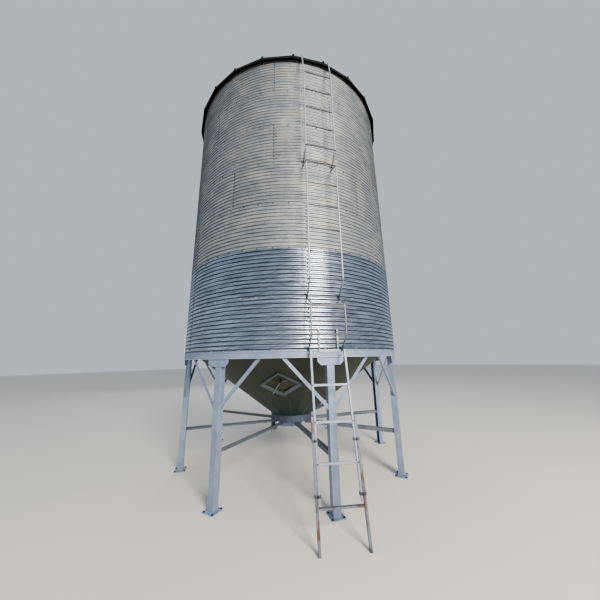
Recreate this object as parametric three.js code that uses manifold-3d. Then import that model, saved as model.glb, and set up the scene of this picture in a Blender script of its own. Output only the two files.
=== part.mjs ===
// Hopper-bottom grain silo: a corrugated steel bin of seven rings on a steel hopper with eight legs.
// Millimetres, +Z up, the ground at z = 0. A bearing is in degrees round the silo's axis: 0 at the front, -Y,
// growing towards +X.
import * as THREE from "three";
import { mergeVertices } from "three/addons/utils/BufferGeometryUtils.js";
import Module from "manifold-3d";

const wasm = await Module();
wasm.setup();

// Wall
const GAP = 0.3; // between pieces that rest on or against each other
const SINK = 0.5; // of a welded plate into the piece that it is welded to
const OVERRUN = 1; // of a cutting shape past the piece that it cuts
const WALL_RADIUS = 2286; // to the middle of the corrugations
const WALL_DEPTH = 14; // from the inner to the outer crests
const WALL_BASE = 2150; // height of the ring beam's top above the ground
const RING_COUNT = 7;
const RING_HEIGHT = 812.8;
const ROUND_SIDES = 72;
const WALL_OUTER = WALL_RADIUS + WALL_DEPTH / 2;
const WALL_INNER = WALL_RADIUS - WALL_DEPTH / 2;
const WALL_TOP = WALL_BASE + RING_COUNT * RING_HEIGHT;

// Hopper
const HOPPER_SLOPE = 37;
const HOPPER_RISE = 120; // how far above the ring beam the cone would meet the middle of the wall
const HOPPER_PLATE = 8;
const HOPPER_BOTTOM = 770;
const COLLAR_RADIUS = 440;
const COLLAR_PLATE = 8;
const COLLAR_BOTTOM = 745;
const COLLAR_MOUTH = 305;

// Ring beam, legs and struts
const LEG_COUNT = 8;
const FIRST_LEG = 22.9;
const BEAM_RADIUS = 2290;
const BEAM_HEIGHT = 110;
const BEAM_PLATE = 8;
const LEG_FACE = 2262; // distance of a leg's outer face from the axis
const LEG_WIDTH = 115;
const LEG_DEPTH = 100;
const LEG_PLATE = 6;
const GUSSET_WIDTH = 420;
const GUSSET_DROP = 222; // below the top of the ring beam
const GUSSET_CORNER = 55;
const FOOT_SIZE = 200;
const FOOT_PLATE = 12;
const BRACE_WIDTH = 65;
const BRACE_PLATE = 6;
const BRACE_FOOT = 805; // below the top of the ring beam
const BRACE_SLOPE = 1.1; // rise for each millimetre along the bay
const BRACE_REACH = 820;
const BRACE_INSET = 12; // of its web from the leg's outer face
const BRACE_CLEARANCE = 4; // between its web and the ring beam's
const STRUT_WIDTH = 76;
const STRUT_PLATE = 6;
const STRUT_INNER_END = 330;

// Discharge
const SPOUT_SIZE = 340;
const SPOUT_PLATE = 6;
const SPOUT_FLANGE = 450;
const SPOUT_LIP = 400;
const SPOUT_BOTTOM = 640;
const GATE_PLATE = 8;
const GATE_PLAY = 2; // on each side, between its runners
const GATE_PULL = 60; // how far it stands out at the back
const GATE_PULL_DROP = 50;
const RUNNER_LEDGE = 24;

// Hatch in the hopper, turned so that one corner points up the slope
const HATCH_RADIUS = 1380;
const HATCH_OUTER = 530;
const HATCH_INNER = 420;
const HATCH_PROUD = 28;
const HATCH_DEEP = 50;
const DOOR_PLATE = 8;
const DOOR_FACE = -8; // outer face of the door, below the hopper's surface
const DOOR_GAP = 5;
const DOOR_TRIM = 1; // off its free edge, for the swing
const HINGE_INSET = 12;
const HINGE_HEIGHT = 4; // above the door's outer face
const HINGE_PIN = 6;
const HINGE_PIN_REACH = 10; // into the frame at each end
const HINGE_HOLE_REACH = 14;
const HINGE_PLAY = 0.7; // round the pin
const BAR_STUD = [-42, 127];
const BAR_END = [63, -310];
const BAR_WIDTH = 30;
const BAR_PLATE = 12;
const CROSSBAR_ENDS = [[-181, -17], [-27, 142]];
const CROSSBAR_WIDTH = 20;
const POST_WIDTH = 28;
const POST_BEHIND = 20; // how far the post reaches from the stud towards the hatch's middle
const POST_AHEAD = 8; // and towards its hinge

// Roof
const ROOF_SIDES = 24;
const ROOF_TURN = 10.4;
const ROOF_PITCH = 30;
const ROOF_RADIUS = 2375;
const ROOF_SHEET = 10;
const EAVE_BOTTOM = WALL_BASE + 5609;
const ROOF_MOUTH = 330;
const RIB_WIDTH = 44;
const RIB_HEIGHT = 38;
const RIB_TOP_RADIUS = 400;
const COLLAR_RISE = 110; // of the fill opening's collar above the panels
const COLLAR_DROP = 10; // below them
const SKIRT_INSET = 10; // from the ribs' upper ends
const SKIRT_PLATE = 5;
const LID_RISE = 70;
const LID_PLAY = 4;
const LID_RIM = 30;
const LID_EDGE = 10;

// Ladders
const LADDER_BEARING = 20.15;
const LADDER_REACH = 2546; // distance of the wall ladder's plane from the axis
const LADDER_WIDTH = 522;
const LADDER_LEFT_ANCHOR = -5.91; // bearings of the wall bolts that hold it, from the ladder's own bearing
const LADDER_RIGHT_ANCHOR = 7.38;
const LADDER_ROD = 13;
const LADDER_SINK = 20; // of the rails into the wall, before they are trimmed to it
const EAVE_CLEARANCE = 27; // from the eave to the middle of a rail that passes it
const EAVE_HOOK = 25; // how far its end reaches back over the eave
const EAVE_HOOK_DROP = 38;
const RUNG_ROD = 12;
const RUNG_STEP = 406.4;
const BASE_LADDER_BEARING = 20.74;
const BASE_LADDER_REACH = 2382;
const BASE_LADDER_TURN = 11.8;
const BASE_LADDER_LEAN = 12.1;
const BASE_LADDER_WIDTH = 497;
const BASE_RAIL = 32;
const BASE_RAIL_DEPTH = 26;
const BASE_FIRST_RUNG = 487; // down the rails from their top
const BASE_RUNG_STEP = 449;
const BASE_RUNG_WIDTH = 32;
const BASE_RUNG_INSET = 4; // from the rails' faces
const BASE_RAIL_TOP = 5; // below the top of the ring beam
const BASE_RAIL_END = 70; // of the rails' feet above the step
const CLIP_LENGTH = 220;
const CLIP_TOP = 22;
const CLIP_WIDTH = 40;
const EXTENSION_TOP = 870;
const EXTENSION_FOOT = 40; // how far its rails are drawn past the ground, before they are trimmed to it
const EXTENSION_PROUD = 3; // of its rails' faces from the ladder's own
const STEP_ABOVE = 30; // of the step above the place of a fourth rung
const STEP_PLATE = 20;
const STEP_FRONT = 22;
const STEP_BACK = 40;
const BRACKET_BEARING = 22;
const BRACKET_HALF = 148; // from its middle to an upright's
const BRACKET_STRAP = 26;
const BRACKET_PLATE = 6;
const BRACKET_HOOK = 30;
const BRACKET_TOP = 308; // above the top of the ring beam
const BRACKET_HOOK_HEIGHT = 28;
const BRACKET_FOOT = 32; // below it
const BRACKET_FOOT_TOP = 8;

const rad = THREE.MathUtils.degToRad;
const slopeRise = Math.tan(rad(HOPPER_SLOPE));
const pitchRise = Math.tan(rad(ROOF_PITCH));

// Height of the hopper's outer surface at a distance from the axis.
const hopperHeight = (radius) => WALL_BASE + HOPPER_RISE - (WALL_RADIUS - radius) * slopeRise;
const hopperRadius = (height) => WALL_RADIUS - (WALL_BASE + HOPPER_RISE - height) / slopeRise;

// The roof rests on the wall where its flat panels come lowest, halfway between two ribs.
const panelReach = 1 / Math.cos(Math.PI / ROOF_SIDES);
const roofApex = WALL_TOP + GAP + WALL_OUTER * panelReach * pitchRise;
const roofUnder = (radius) => roofApex - radius * pitchRise;
const roofOver = (radius) => roofUnder(radius) + ROOF_SHEET / Math.cos(rad(ROOF_PITCH));

function finish(color, roughness, metalness) {
  return new THREE.MeshStandardMaterial({ color, roughness, metalness });
}
const newGalvanised = finish(0xb4bcc6, 0.42, 0.85);
const agedGalvanised = finish(0x9a9e9f, 0.58, 0.75);
const steelwork = finish(0x93a3ba, 0.5, 0.4);
const hopperSteel = finish(0x63675c, 0.55, 0.5);
const roofSteel = finish(0x8b8f90, 0.5, 0.8);
const ladderSteel = finish(0xaab0b6, 0.5, 0.8);
const rustySteel = finish(0xa89c8e, 0.75, 0.3);

const silo = new THREE.Group();

function addPiece(name, geometry, material, bearing = 0, parent = silo) {
  const mesh = new THREE.Mesh(geometry, material);
  mesh.name = name;
  mesh.rotation.z = rad(bearing);
  parent.add(mesh);
  return mesh;
}

// A closed geometry as a manifold-3d solid, and back.
function solidOf(geometry) {
  const bare = geometry.index ? geometry.toNonIndexed() : geometry.clone();
  bare.deleteAttribute("normal");
  bare.deleteAttribute("uv");
  const merged = mergeVertices(bare, 1e-3);
  const vertProperties = merged.attributes.position.array;
  const triVerts = new Uint32Array(merged.index.array);
  return new wasm.Manifold(new wasm.Mesh({ numProp: 3, vertProperties, triVerts }));
}

function geometryOf(solid) {
  const mesh = solid.getMesh();
  const geometry = new THREE.BufferGeometry();
  geometry.setAttribute("position", new THREE.BufferAttribute(mesh.vertProperties, 3));
  geometry.setIndex(new THREE.BufferAttribute(mesh.triVerts, 1));
  geometry.computeVertexNormals();
  return geometry;
}

const join = (...pieces) => geometryOf(pieces.map(solidOf).reduce((whole, next) => whole.add(next)));
const cut = (piece, tool) => geometryOf(solidOf(piece).subtract(solidOf(tool)));
const keep = (piece, region) => geometryOf(solidOf(piece).intersect(solidOf(region)));

function block([x0, x1], [y0, y1], [z0, z1]) {
  const box = new THREE.BoxGeometry(x1 - x0, y1 - y0, z1 - z0);
  return box.translate((x0 + x1) / 2, (y0 + y1) / 2, (z0 + z1) / 2);
}

// A profile of [radius, height] points turned about the vertical axis.
function turned(profile, sides = ROUND_SIDES, turn = 0) {
  const points = profile.map(([radius, height]) => new THREE.Vector2(radius, height));
  return new THREE.LatheGeometry(points, sides, rad(turn)).rotateX(Math.PI / 2);
}

const turnedLoop = (profile, sides, turn) => turned([...profile, profile[0]], sides, turn);

function extruded(outline, depth) {
  const shape = new THREE.Shape(outline.map(([x, y]) => new THREE.Vector2(x, y)));
  return new THREE.ExtrudeGeometry(shape, { depth, bevelEnabled: false });
}

// A rod through points, each length run on a little past its bends so that the lengths join.
function rod(points, radius, sides = 8) {
  const lengths = points.slice(1).map((end, i) => {
    const start = points[i];
    const axis = new THREE.Vector3().subVectors(end, start);
    const overrun = radius / 2;
    const upright = new THREE.Vector3(0, 1, 0);
    const turn = new THREE.Quaternion().setFromUnitVectors(upright, axis.clone().normalize());
    const middle = new THREE.Vector3().addVectors(start, end).multiplyScalar(0.5);
    return new THREE.CylinderGeometry(radius, radius, axis.length() + 2 * overrun, sides)
      .applyQuaternion(turn)
      .translate(middle.x, middle.y, middle.z);
  });
  return join(...lengths);
}

// A point by its bearing, distance from the axis and height.
function around(bearing, radius, height) {
  return new THREE.Vector3(radius * Math.sin(rad(bearing)), -radius * Math.cos(rad(bearing)), height);
}

// Everything inside a round or many-sided outline, for trimming pieces that end against it.
function core(radius, bottom, top, sides = ROUND_SIDES, turn = 0) {
  return turned([[0, bottom], [radius, bottom], [radius, top], [0, top]], sides, turn);
}

function wallRing(index) {
  const bottom = WALL_BASE + index * RING_HEIGHT + GAP;
  const top = WALL_BASE + (index + 1) * RING_HEIGHT;
  return turnedLoop([[WALL_INNER, bottom], [WALL_OUTER, bottom], [WALL_OUTER, top], [WALL_INNER, top]]);
}

// An angle section rolled to the wall's circle. The hopper rests on the inner edge of its flange.
function ringBeam() {
  const seat = WALL_RADIUS - (HOPPER_RISE - GAP) / slopeRise;
  const flangeBottom = WALL_BASE - BEAM_PLATE;
  const webInner = BEAM_RADIUS - BEAM_PLATE;
  const bottom = WALL_BASE - BEAM_HEIGHT;
  return turnedLoop([
    [seat, flangeBottom],
    [webInner, flangeBottom],
    [webInner, bottom],
    [BEAM_RADIUS, bottom],
    [BEAM_RADIUS, WALL_BASE],
    [seat, WALL_BASE],
  ]);
}

// One of eight plates of the hopper's cone, from the wall down into the collar.
function hopperSheet() {
  const rise = HOPPER_PLATE / Math.cos(rad(HOPPER_SLOPE));
  const edge = WALL_INNER - GAP;
  const cone = turnedLoop([
    [hopperRadius(HOPPER_BOTTOM), HOPPER_BOTTOM],
    [edge, hopperHeight(edge)],
    [edge, hopperHeight(edge) + rise],
    [hopperRadius(HOPPER_BOTTOM - rise), HOPPER_BOTTOM],
  ]);
  const half = Math.PI / LEG_COUNT;
  const reach = WALL_OUTER / Math.cos(half);
  const side = reach * Math.tan(half);
  const wedge = extruded([[0, 0], [-side, -reach], [side, -reach]], WALL_TOP);
  return keep(cone, wedge.translate(0, -GAP / 2 / Math.sin(half), 0));
}

function hopperCollar() {
  const inner = COLLAR_RADIUS - COLLAR_PLATE;
  const top = hopperHeight(inner) - GAP;
  return turnedLoop([
    [COLLAR_MOUTH, COLLAR_BOTTOM],
    [COLLAR_RADIUS, COLLAR_BOTTOM],
    [COLLAR_RADIUS, top],
    [inner, top],
    [inner, COLLAR_BOTTOM + COLLAR_PLATE],
    [COLLAR_MOUTH, COLLAR_BOTTOM + COLLAR_PLATE],
  ]);
}

// A knee brace of angle iron on the right of a leg, from its side up to the ring beam. The leg faces -Y, and
// the angle's second flange runs inward along its lower edge.
function kneeBrace() {
  const start = new THREE.Vector3(LEG_WIDTH / 2, BRACE_INSET - LEG_FACE, WALL_BASE - BRACE_FOOT);
  const webInner = (BEAM_RADIUS - BEAM_PLATE) * Math.cos(Math.PI / ROUND_SIDES);
  const far = BRACE_CLEARANCE - Math.sqrt(webInner ** 2 - BRACE_REACH ** 2);
  const plan = new THREE.Vector3(BRACE_REACH - start.x, far - start.y, 0);
  const run = plan.clone().setZ(plan.x * BRACE_SLOPE).normalize();
  const inward = new THREE.Vector3(0, 0, 1).cross(plan.normalize());
  const upper = new THREE.Vector3().crossVectors(run, inward);
  const half = BRACE_WIDTH / 2;
  const angle = extruded(
    [[0, -half], [BRACE_WIDTH, -half], [BRACE_WIDTH, BRACE_PLATE - half], [BRACE_PLATE, BRACE_PLATE - half],
      [BRACE_PLATE, half], [0, half]],
    2 * BRACE_REACH,
  );
  angle.translate(0, 0, -BRACE_WIDTH * 2);
  angle.applyMatrix4(new THREE.Matrix4().makeBasis(inward, upper, run).setPosition(start));
  const sidePlate = LEG_WIDTH / 2 - LEG_PLATE / 2;
  const room = block([sidePlate, 2 * BRACE_REACH], [-BEAM_RADIUS, 0], [0, WALL_BASE - BEAM_PLATE - GAP]);
  return keep(angle, room);
}

// A leg faces -Y: a channel with its flanges inward, a foot plate, a head gusset and a knee brace each side.
function leg() {
  const half = LEG_WIDTH / 2;
  const back = LEG_DEPTH - LEG_FACE;
  const head = WALL_BASE - BEAM_PLATE - GAP;
  const channel = extruded(
    [[-half, -LEG_FACE], [half, -LEG_FACE], [half, back], [half - LEG_PLATE, back],
      [half - LEG_PLATE, -LEG_FACE + LEG_PLATE], [LEG_PLATE - half, -LEG_FACE + LEG_PLATE],
      [LEG_PLATE - half, back], [-half, back]],
    head - FOOT_PLATE / 2,
  ).translate(0, 0, FOOT_PLATE / 2);
  const footMiddle = -LEG_FACE + LEG_DEPTH / 2;
  const footEdge = FOOT_SIZE / 2;
  const foot = block([-footEdge, footEdge], [footMiddle - footEdge, footMiddle + footEdge], [0, FOOT_PLATE]);
  const wide = GUSSET_WIDTH / 2;
  const low = WALL_BASE - GUSSET_DROP;
  const gusset = extruded(
    [[-wide, low + GUSSET_CORNER], [GUSSET_CORNER - wide, low], [wide - GUSSET_CORNER, low],
      [wide, low + GUSSET_CORNER], [wide, head], [-wide, head]],
    BEAM_PLATE,
  ).rotateX(Math.PI / 2).translate(0, SINK - LEG_FACE, 0);
  const brace = kneeBrace();
  const otherBrace = geometryOf(solidOf(brace).mirror([1, 0, 0]));
  return join(channel, foot, gusset, brace, otherBrace);
}

// A strut of angle iron from inside a leg to the underside of the collar. It runs along -Y.
function tieStrut() {
  const top = COLLAR_BOTTOM - GAP;
  const half = STRUT_WIDTH / 2;
  const bottom = top - STRUT_WIDTH;
  const outerEnd = LEG_FACE - LEG_PLATE - GAP;
  const angle = extruded(
    [[-half, bottom], [STRUT_PLATE - half, bottom], [STRUT_PLATE - half, top - STRUT_PLATE],
      [half, top - STRUT_PLATE], [half, top], [-half, top]],
    outerEnd - STRUT_INNER_END,
  );
  return angle.translate(0, 0, STRUT_INNER_END).rotateX(Math.PI / 2);
}

const square = (size, z0, z1) => block([-size / 2, size / 2], [-size / 2, size / 2], [z0, z1]);

// A square spout under the collar: top flange, tube, bottom lip, and two runners that carry the slide gate.
function dischargeSpout() {
  const top = COLLAR_BOTTOM - GAP;
  const lipTop = SPOUT_BOTTOM + BEAM_PLATE;
  const body = join(
    square(SPOUT_FLANGE, top - BEAM_PLATE, top),
    square(SPOUT_SIZE, SPOUT_BOTTOM, top),
    square(SPOUT_LIP, SPOUT_BOTTOM, lipTop),
  );
  const bored = cut(body, square(SPOUT_SIZE - 2 * SPOUT_PLATE, SPOUT_BOTTOM - OVERRUN, top + OVERRUN));
  const edge = SPOUT_LIP / 2;
  const low = SPOUT_BOTTOM - GATE_PLATE * 2 - SPOUT_PLATE;
  const runner = join(
    block([edge - SPOUT_PLATE, edge], [-edge, edge], [low, SPOUT_BOTTOM + SINK]),
    block([edge - RUNNER_LEDGE, edge], [-edge, edge], [low, low + SPOUT_PLATE]),
  );
  const otherRunner = geometryOf(solidOf(runner).mirror([1, 0, 0]));
  return join(bored, runner, otherRunner);
}

// The plate that closes the spout, with a turned-down pull edge at the back.
function slideGate() {
  const half = SPOUT_LIP / 2 - SPOUT_PLATE - GATE_PLAY;
  const bottom = SPOUT_BOTTOM - GATE_PLATE * 2 + GAP;
  const front = -SPOUT_LIP / 2;
  const back = SPOUT_LIP / 2 + GATE_PULL;
  return join(
    block([-half, half], [front, back], [bottom, bottom + GATE_PLATE]),
    block([-half / 2, half / 2], [back - GATE_PLATE, back], [bottom - GATE_PULL_DROP, bottom + SINK]),
  );
}

// The hatch's own axes: X along its hinge side, Y towards that side, Z out of the hopper.
function hatchFrameOfReference() {
  const across = new THREE.Vector3(1, 0, 0);
  const slope = rad(HOPPER_SLOPE);
  const upSlope = new THREE.Vector3(0, -Math.cos(slope), Math.sin(slope));
  const outward = new THREE.Vector3().crossVectors(across, upSlope);
  const along = across.clone().sub(upSlope).normalize();
  const towards = across.clone().add(upSlope).normalize();
  const centre = around(0, HATCH_RADIUS, hopperHeight(HATCH_RADIUS));
  return new THREE.Matrix4().makeBasis(along, towards, outward).setPosition(centre);
}

function hatchFrame() {
  const opening = square(HATCH_INNER, -HATCH_DEEP - OVERRUN, HATCH_PROUD + OVERRUN);
  const ring = cut(square(HATCH_OUTER, -HATCH_DEEP, HATCH_PROUD), opening);
  const hinge = hingeLine();
  const end = HATCH_INNER / 2 + HINGE_HOLE_REACH;
  return cut(ring, rod([hinge(-end), hinge(end)], HINGE_PIN + HINGE_PLAY, 16));
}

// A point on the hinge's axis, at a distance along it.
function hingeLine() {
  const y = HATCH_INNER / 2 - HINGE_INSET;
  return (x) => new THREE.Vector3(x, y, DOOR_FACE + HINGE_HEIGHT);
}

function hatchDoor() {
  const side = HATCH_INNER / 2 - DOOR_GAP;
  const hinge = hingeLine();
  const pinEnd = HATCH_INNER / 2 + HINGE_PIN_REACH;
  return join(
    block([-side, side], [DOOR_TRIM - side, side], [DOOR_FACE - DOOR_PLATE, DOOR_FACE]),
    rod([hinge(-pinEnd), hinge(pinEnd)], HINGE_PIN, 16),
  );
}

// A T-shaped bar on a stud of the door, whose stem reaches over the frame opposite the hinge.
function hatchBar() {
  const low = HATCH_PROUD + DOOR_GAP;
  const high = low + BAR_PLATE;
  const stem = flatBar(BAR_STUD, BAR_END, BAR_WIDTH, low, high);
  const crossbar = flatBar(...CROSSBAR_ENDS, CROSSBAR_WIDTH, low, high);
  const [x, y] = BAR_STUD;
  const half = POST_WIDTH / 2;
  const post = block([x - half, x + half], [y - POST_BEHIND, y + POST_AHEAD], [DOOR_FACE + GAP, high - SINK]);
  return join(stem, crossbar, post);
}

// A flat bar between two points of a plane, from one height to another.
function flatBar([x0, y0], [x1, y1], width, low, high) {
  const bar = block([0, Math.hypot(x1 - x0, y1 - y0)], [-width / 2, width / 2], [low, high]);
  return bar.rotateZ(Math.atan2(y1 - y0, x1 - x0)).translate(x0, y0, 0);
}

// A cone of flat panels with a turned-down eave and a raised rib on every joint.
function roofPanels() {
  const shell = turnedLoop([
    [ROOF_MOUTH, roofUnder(ROOF_MOUTH)],
    [ROOF_RADIUS - ROOF_SHEET, roofUnder(ROOF_RADIUS - ROOF_SHEET)],
    [ROOF_RADIUS - ROOF_SHEET, EAVE_BOTTOM],
    [ROOF_RADIUS, EAVE_BOTTOM],
    [ROOF_RADIUS, roofOver(ROOF_RADIUS)],
    [ROOF_MOUTH, roofOver(ROOF_MOUTH)],
  ], ROOF_SIDES, ROOF_TURN);
  const rib = extruded([
    [ROOF_RADIUS, roofOver(ROOF_RADIUS) - ROOF_SHEET],
    [ROOF_RADIUS, roofOver(ROOF_RADIUS) + RIB_HEIGHT],
    [RIB_TOP_RADIUS, roofOver(RIB_TOP_RADIUS) + RIB_HEIGHT / 2],
    [RIB_TOP_RADIUS, roofOver(RIB_TOP_RADIUS) - ROOF_SHEET / 2],
  ], RIB_WIDTH).translate(0, 0, -RIB_WIDTH / 2).rotateX(Math.PI / 2).rotateZ(rad(ROOF_TURN - 90));
  const ribs = Array.from({ length: ROOF_SIDES }, (_, i) => rib.clone().rotateZ(rad(i * 360 / ROOF_SIDES)));
  return join(shell, ...ribs);
}

// The fill opening's collar, with a skirt that lies on the panels.
function roofCollar() {
  const outer = ROOF_MOUTH - GAP;
  const inner = outer - COLLAR_PLATE;
  const skirt = RIB_TOP_RADIUS - SKIRT_INSET;
  const foot = roofUnder(ROOF_MOUTH) - COLLAR_DROP;
  const top = roofOver(ROOF_MOUTH) + COLLAR_RISE;
  return turnedLoop([
    [inner, foot],
    [outer, foot],
    [outer, roofOver(outer) + GAP],
    [skirt, roofOver(skirt) + GAP],
    [skirt, roofOver(skirt) + SKIRT_PLATE],
    [outer, roofOver(outer) + SKIRT_PLATE],
    [outer, top],
    [inner, top],
  ], ROOF_SIDES, ROOF_TURN);
}

function roofLid() {
  const seat = roofOver(ROOF_MOUTH) + COLLAR_RISE + GAP;
  const rim = ROOF_MOUTH + LID_PLAY;
  const edge = rim + COLLAR_PLATE;
  return turned([
    [0, seat],
    [rim, seat],
    [rim, seat - LID_RIM],
    [edge, seat - LID_RIM],
    [edge, seat + LID_EDGE],
    [0, seat + LID_RISE],
  ], ROOF_SIDES, ROOF_TURN);
}

// A length of the wall ladder, by heights above the ring beam. Its rails bend in to the wall's bolts at both
// ends, or at the top over the eave.
function wallLadder({ foot, rails, head, firstRung, rungs, overEave }) {
  const half = LADDER_WIDTH / 2;
  const onRail = (x, height) => new THREE.Vector3(x, -LADDER_REACH, WALL_BASE + height);
  const inWall = WALL_OUTER - LADDER_SINK;
  const pieces = [];
  for (const [x, anchor] of [[-half, LADDER_LEFT_ANCHOR], [half, LADDER_RIGHT_ANCHOR]]) {
    const path = [around(anchor, inWall, WALL_BASE + foot), onRail(x, rails[0]), onRail(x, rails[1])];
    if (overEave) {
      path.push(around(anchor, ROOF_RADIUS + EAVE_CLEARANCE, WALL_BASE + head));
      path.push(around(anchor, ROOF_RADIUS - EAVE_HOOK, WALL_BASE + head - EAVE_HOOK_DROP));
    } else {
      path.push(around(anchor, inWall, WALL_BASE + head));
    }
    pieces.push(rod(path, LADDER_ROD));
  }
  for (let i = 0; i < rungs; i++) {
    const height = firstRung + i * RUNG_STEP;
    pieces.push(rod([onRail(-half, height), onRail(half, height)], RUNG_ROD));
  }
  const ladder = join(...pieces).rotateZ(rad(LADDER_BEARING));
  const clearOfWall = cut(ladder, core(WALL_OUTER + GAP, 0, WALL_TOP));
  return cut(clearOfWall, core(ROOF_RADIUS + GAP, EAVE_BOTTOM - OVERRUN, roofApex, ROOF_SIDES, ROOF_TURN));
}

// The leaning ladder's own axes: X across it, Z up its rails, its top at the top of the ring beam.
function leaning(geometry) {
  const top = around(BASE_LADDER_BEARING, BASE_LADDER_REACH, WALL_BASE);
  geometry.rotateX(-rad(BASE_LADDER_LEAN)).rotateZ(rad(BASE_LADDER_TURN));
  return geometry.translate(top.x, top.y, top.z);
}

// Height up the leaning rails of the rung with this number, counted down from the top.
const baseRung = (index) => -BASE_FIRST_RUNG - index * BASE_RUNG_STEP;

// Rails and three rungs, with a clip from each rail to the ring beam.
function baseLadder() {
  const half = BASE_LADDER_WIDTH / 2;
  const rail = BASE_RAIL / 2;
  const depth = BASE_RAIL_DEPTH / 2;
  const foot = baseRung(3) + BASE_RAIL_END;
  const pieces = [];
  for (const x of [-half, half]) {
    pieces.push(block([x - rail, x + rail], [-depth, depth], [foot, -BASE_RAIL_TOP]));
    pieces.push(block([x - rail + 2, x + rail - 2], [0, CLIP_LENGTH], [-CLIP_TOP - CLIP_WIDTH, -CLIP_TOP]));
  }
  const thin = depth - BASE_RUNG_INSET;
  for (let i = 0; i < 3; i++) {
    const z = baseRung(i);
    pieces.push(block([-half, half], [-thin, thin], [z - BASE_RUNG_WIDTH / 2, z + BASE_RUNG_WIDTH / 2]));
  }
  return cut(leaning(join(...pieces)), core(BEAM_RADIUS + GAP, 0, WALL_TOP));
}

// Two longer rails bolted outside the ladder's own, down to the ground, and the step between them.
function ladderExtension() {
  const inner = BASE_LADDER_WIDTH / 2 + BASE_RAIL / 2 + GAP;
  const outer = inner + BASE_RAIL;
  const depth = BASE_RAIL_DEPTH / 2 + EXTENSION_PROUD;
  const bottom = -WALL_BASE / Math.cos(rad(BASE_LADDER_LEAN)) - EXTENSION_FOOT;
  const step = baseRung(3) + STEP_ABOVE;
  const edge = inner + SINK;
  const pieces = [
    block([inner, outer], [-depth, depth], [bottom, -EXTENSION_TOP]),
    block([-outer, -inner], [-depth, depth], [bottom, -EXTENSION_TOP]),
    block([-edge, edge], [-STEP_FRONT, STEP_BACK], [step - STEP_PLATE / 2, step + STEP_PLATE / 2]),
  ];
  const reach = 2 * WALL_OUTER;
  return keep(leaning(join(...pieces)), block([-reach, reach], [-reach, reach], [0, WALL_BASE]));
}

// Two upright straps with hooked tops on a plate, bolted to the foot of the wall behind the ladder.
function ladderBracket() {
  const face = -WALL_OUTER - BRACKET_PLATE;
  const side = BRACKET_STRAP / 2;
  const edge = BRACKET_HALF + side;
  const low = WALL_BASE - BRACKET_FOOT;
  const top = WALL_BASE + BRACKET_TOP;
  const pieces = [block([-edge, edge], [face, face + BRACKET_HOOK], [low, WALL_BASE + BRACKET_FOOT_TOP])];
  for (const x of [-BRACKET_HALF, BRACKET_HALF]) {
    const across = [x - side, x + side];
    pieces.push(block(across, [face - BRACKET_PLATE, face + SINK], [low + BRACKET_PLATE, top]));
    pieces.push(block(across, [face - BRACKET_PLATE, face + BRACKET_HOOK], [top - BRACKET_HOOK_HEIGHT, top]));
  }
  const bracket = join(...pieces).rotateZ(rad(BRACKET_BEARING));
  return cut(bracket, core(WALL_OUTER + GAP, 0, WALL_TOP));
}

for (let i = 0; i < RING_COUNT; i++) {
  addPiece(`wall_ring_${i + 1}`, wallRing(i), i < 2 ? newGalvanised : agedGalvanised);
}
addPiece("ring_beam", ringBeam(), steelwork);

const legShape = leg();
const strutShape = tieStrut();
const sheetShape = hopperSheet();
const hatchAxes = hatchFrameOfReference();
const hatchHole = square(HATCH_OUTER + 2 * GAP, -4 * HATCH_DEEP, 4 * HATCH_DEEP).applyMatrix4(hatchAxes);
for (let i = 0; i < LEG_COUNT; i++) {
  const turn = i * 360 / LEG_COUNT;
  const sheet = i === 0 ? cut(sheetShape, hatchHole) : sheetShape;
  addPiece(`leg_${i + 1}`, legShape, steelwork, FIRST_LEG + turn);
  addPiece(`tie_strut_${i + 1}`, strutShape, steelwork, FIRST_LEG + turn);
  addPiece(`hopper_sheet_${i + 1}`, sheet, hopperSteel, turn);
}
addPiece("hopper_collar", hopperCollar(), steelwork);
addPiece("discharge_spout", dischargeSpout(), steelwork);
addPiece("slide_gate", slideGate(), steelwork);

const hatch = new THREE.Group();
hatchAxes.decompose(hatch.position, hatch.quaternion, hatch.scale);
addPiece("hatch_frame", hatchFrame(), hopperSteel, 0, hatch);
addPiece("hatch_door", hatchDoor(), hopperSteel, 0, hatch);
addPiece("hatch_bar", hatchBar(), hopperSteel, 0, hatch);
silo.add(hatch);

addPiece("roof_panels", roofPanels(), roofSteel);
addPiece("roof_collar", roofCollar(), roofSteel);
addPiece("roof_lid", roofLid(), roofSteel);

const lowLadder = { foot: 8, rails: [190, 660], head: 785, firstRung: 203.2, rungs: 2 };
const middleLadder = { foot: 821, rails: [1003, 3062], head: 3201, firstRung: 1016, rungs: 6 };
const topLadder = { foot: 3259, rails: [3360, 5030], head: 5688, firstRung: 3371, rungs: 5, overEave: true };
addPiece("wall_ladder_low", wallLadder(lowLadder), ladderSteel);
addPiece("wall_ladder_middle", wallLadder(middleLadder), ladderSteel);
addPiece("wall_ladder_top", wallLadder(topLadder), ladderSteel);
addPiece("base_ladder", baseLadder(), ladderSteel);
addPiece("ladder_extension", ladderExtension(), rustySteel);
addPiece("ladder_bracket", ladderBracket(), ladderSteel);

silo.updateMatrixWorld(true);
export default silo;
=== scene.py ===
import math
from functools import partial

import bmesh
import bpy
import numpy as np
from bpy.props import FloatProperty, FloatVectorProperty, IntProperty, PointerProperty
from mathutils import Matrix


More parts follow.
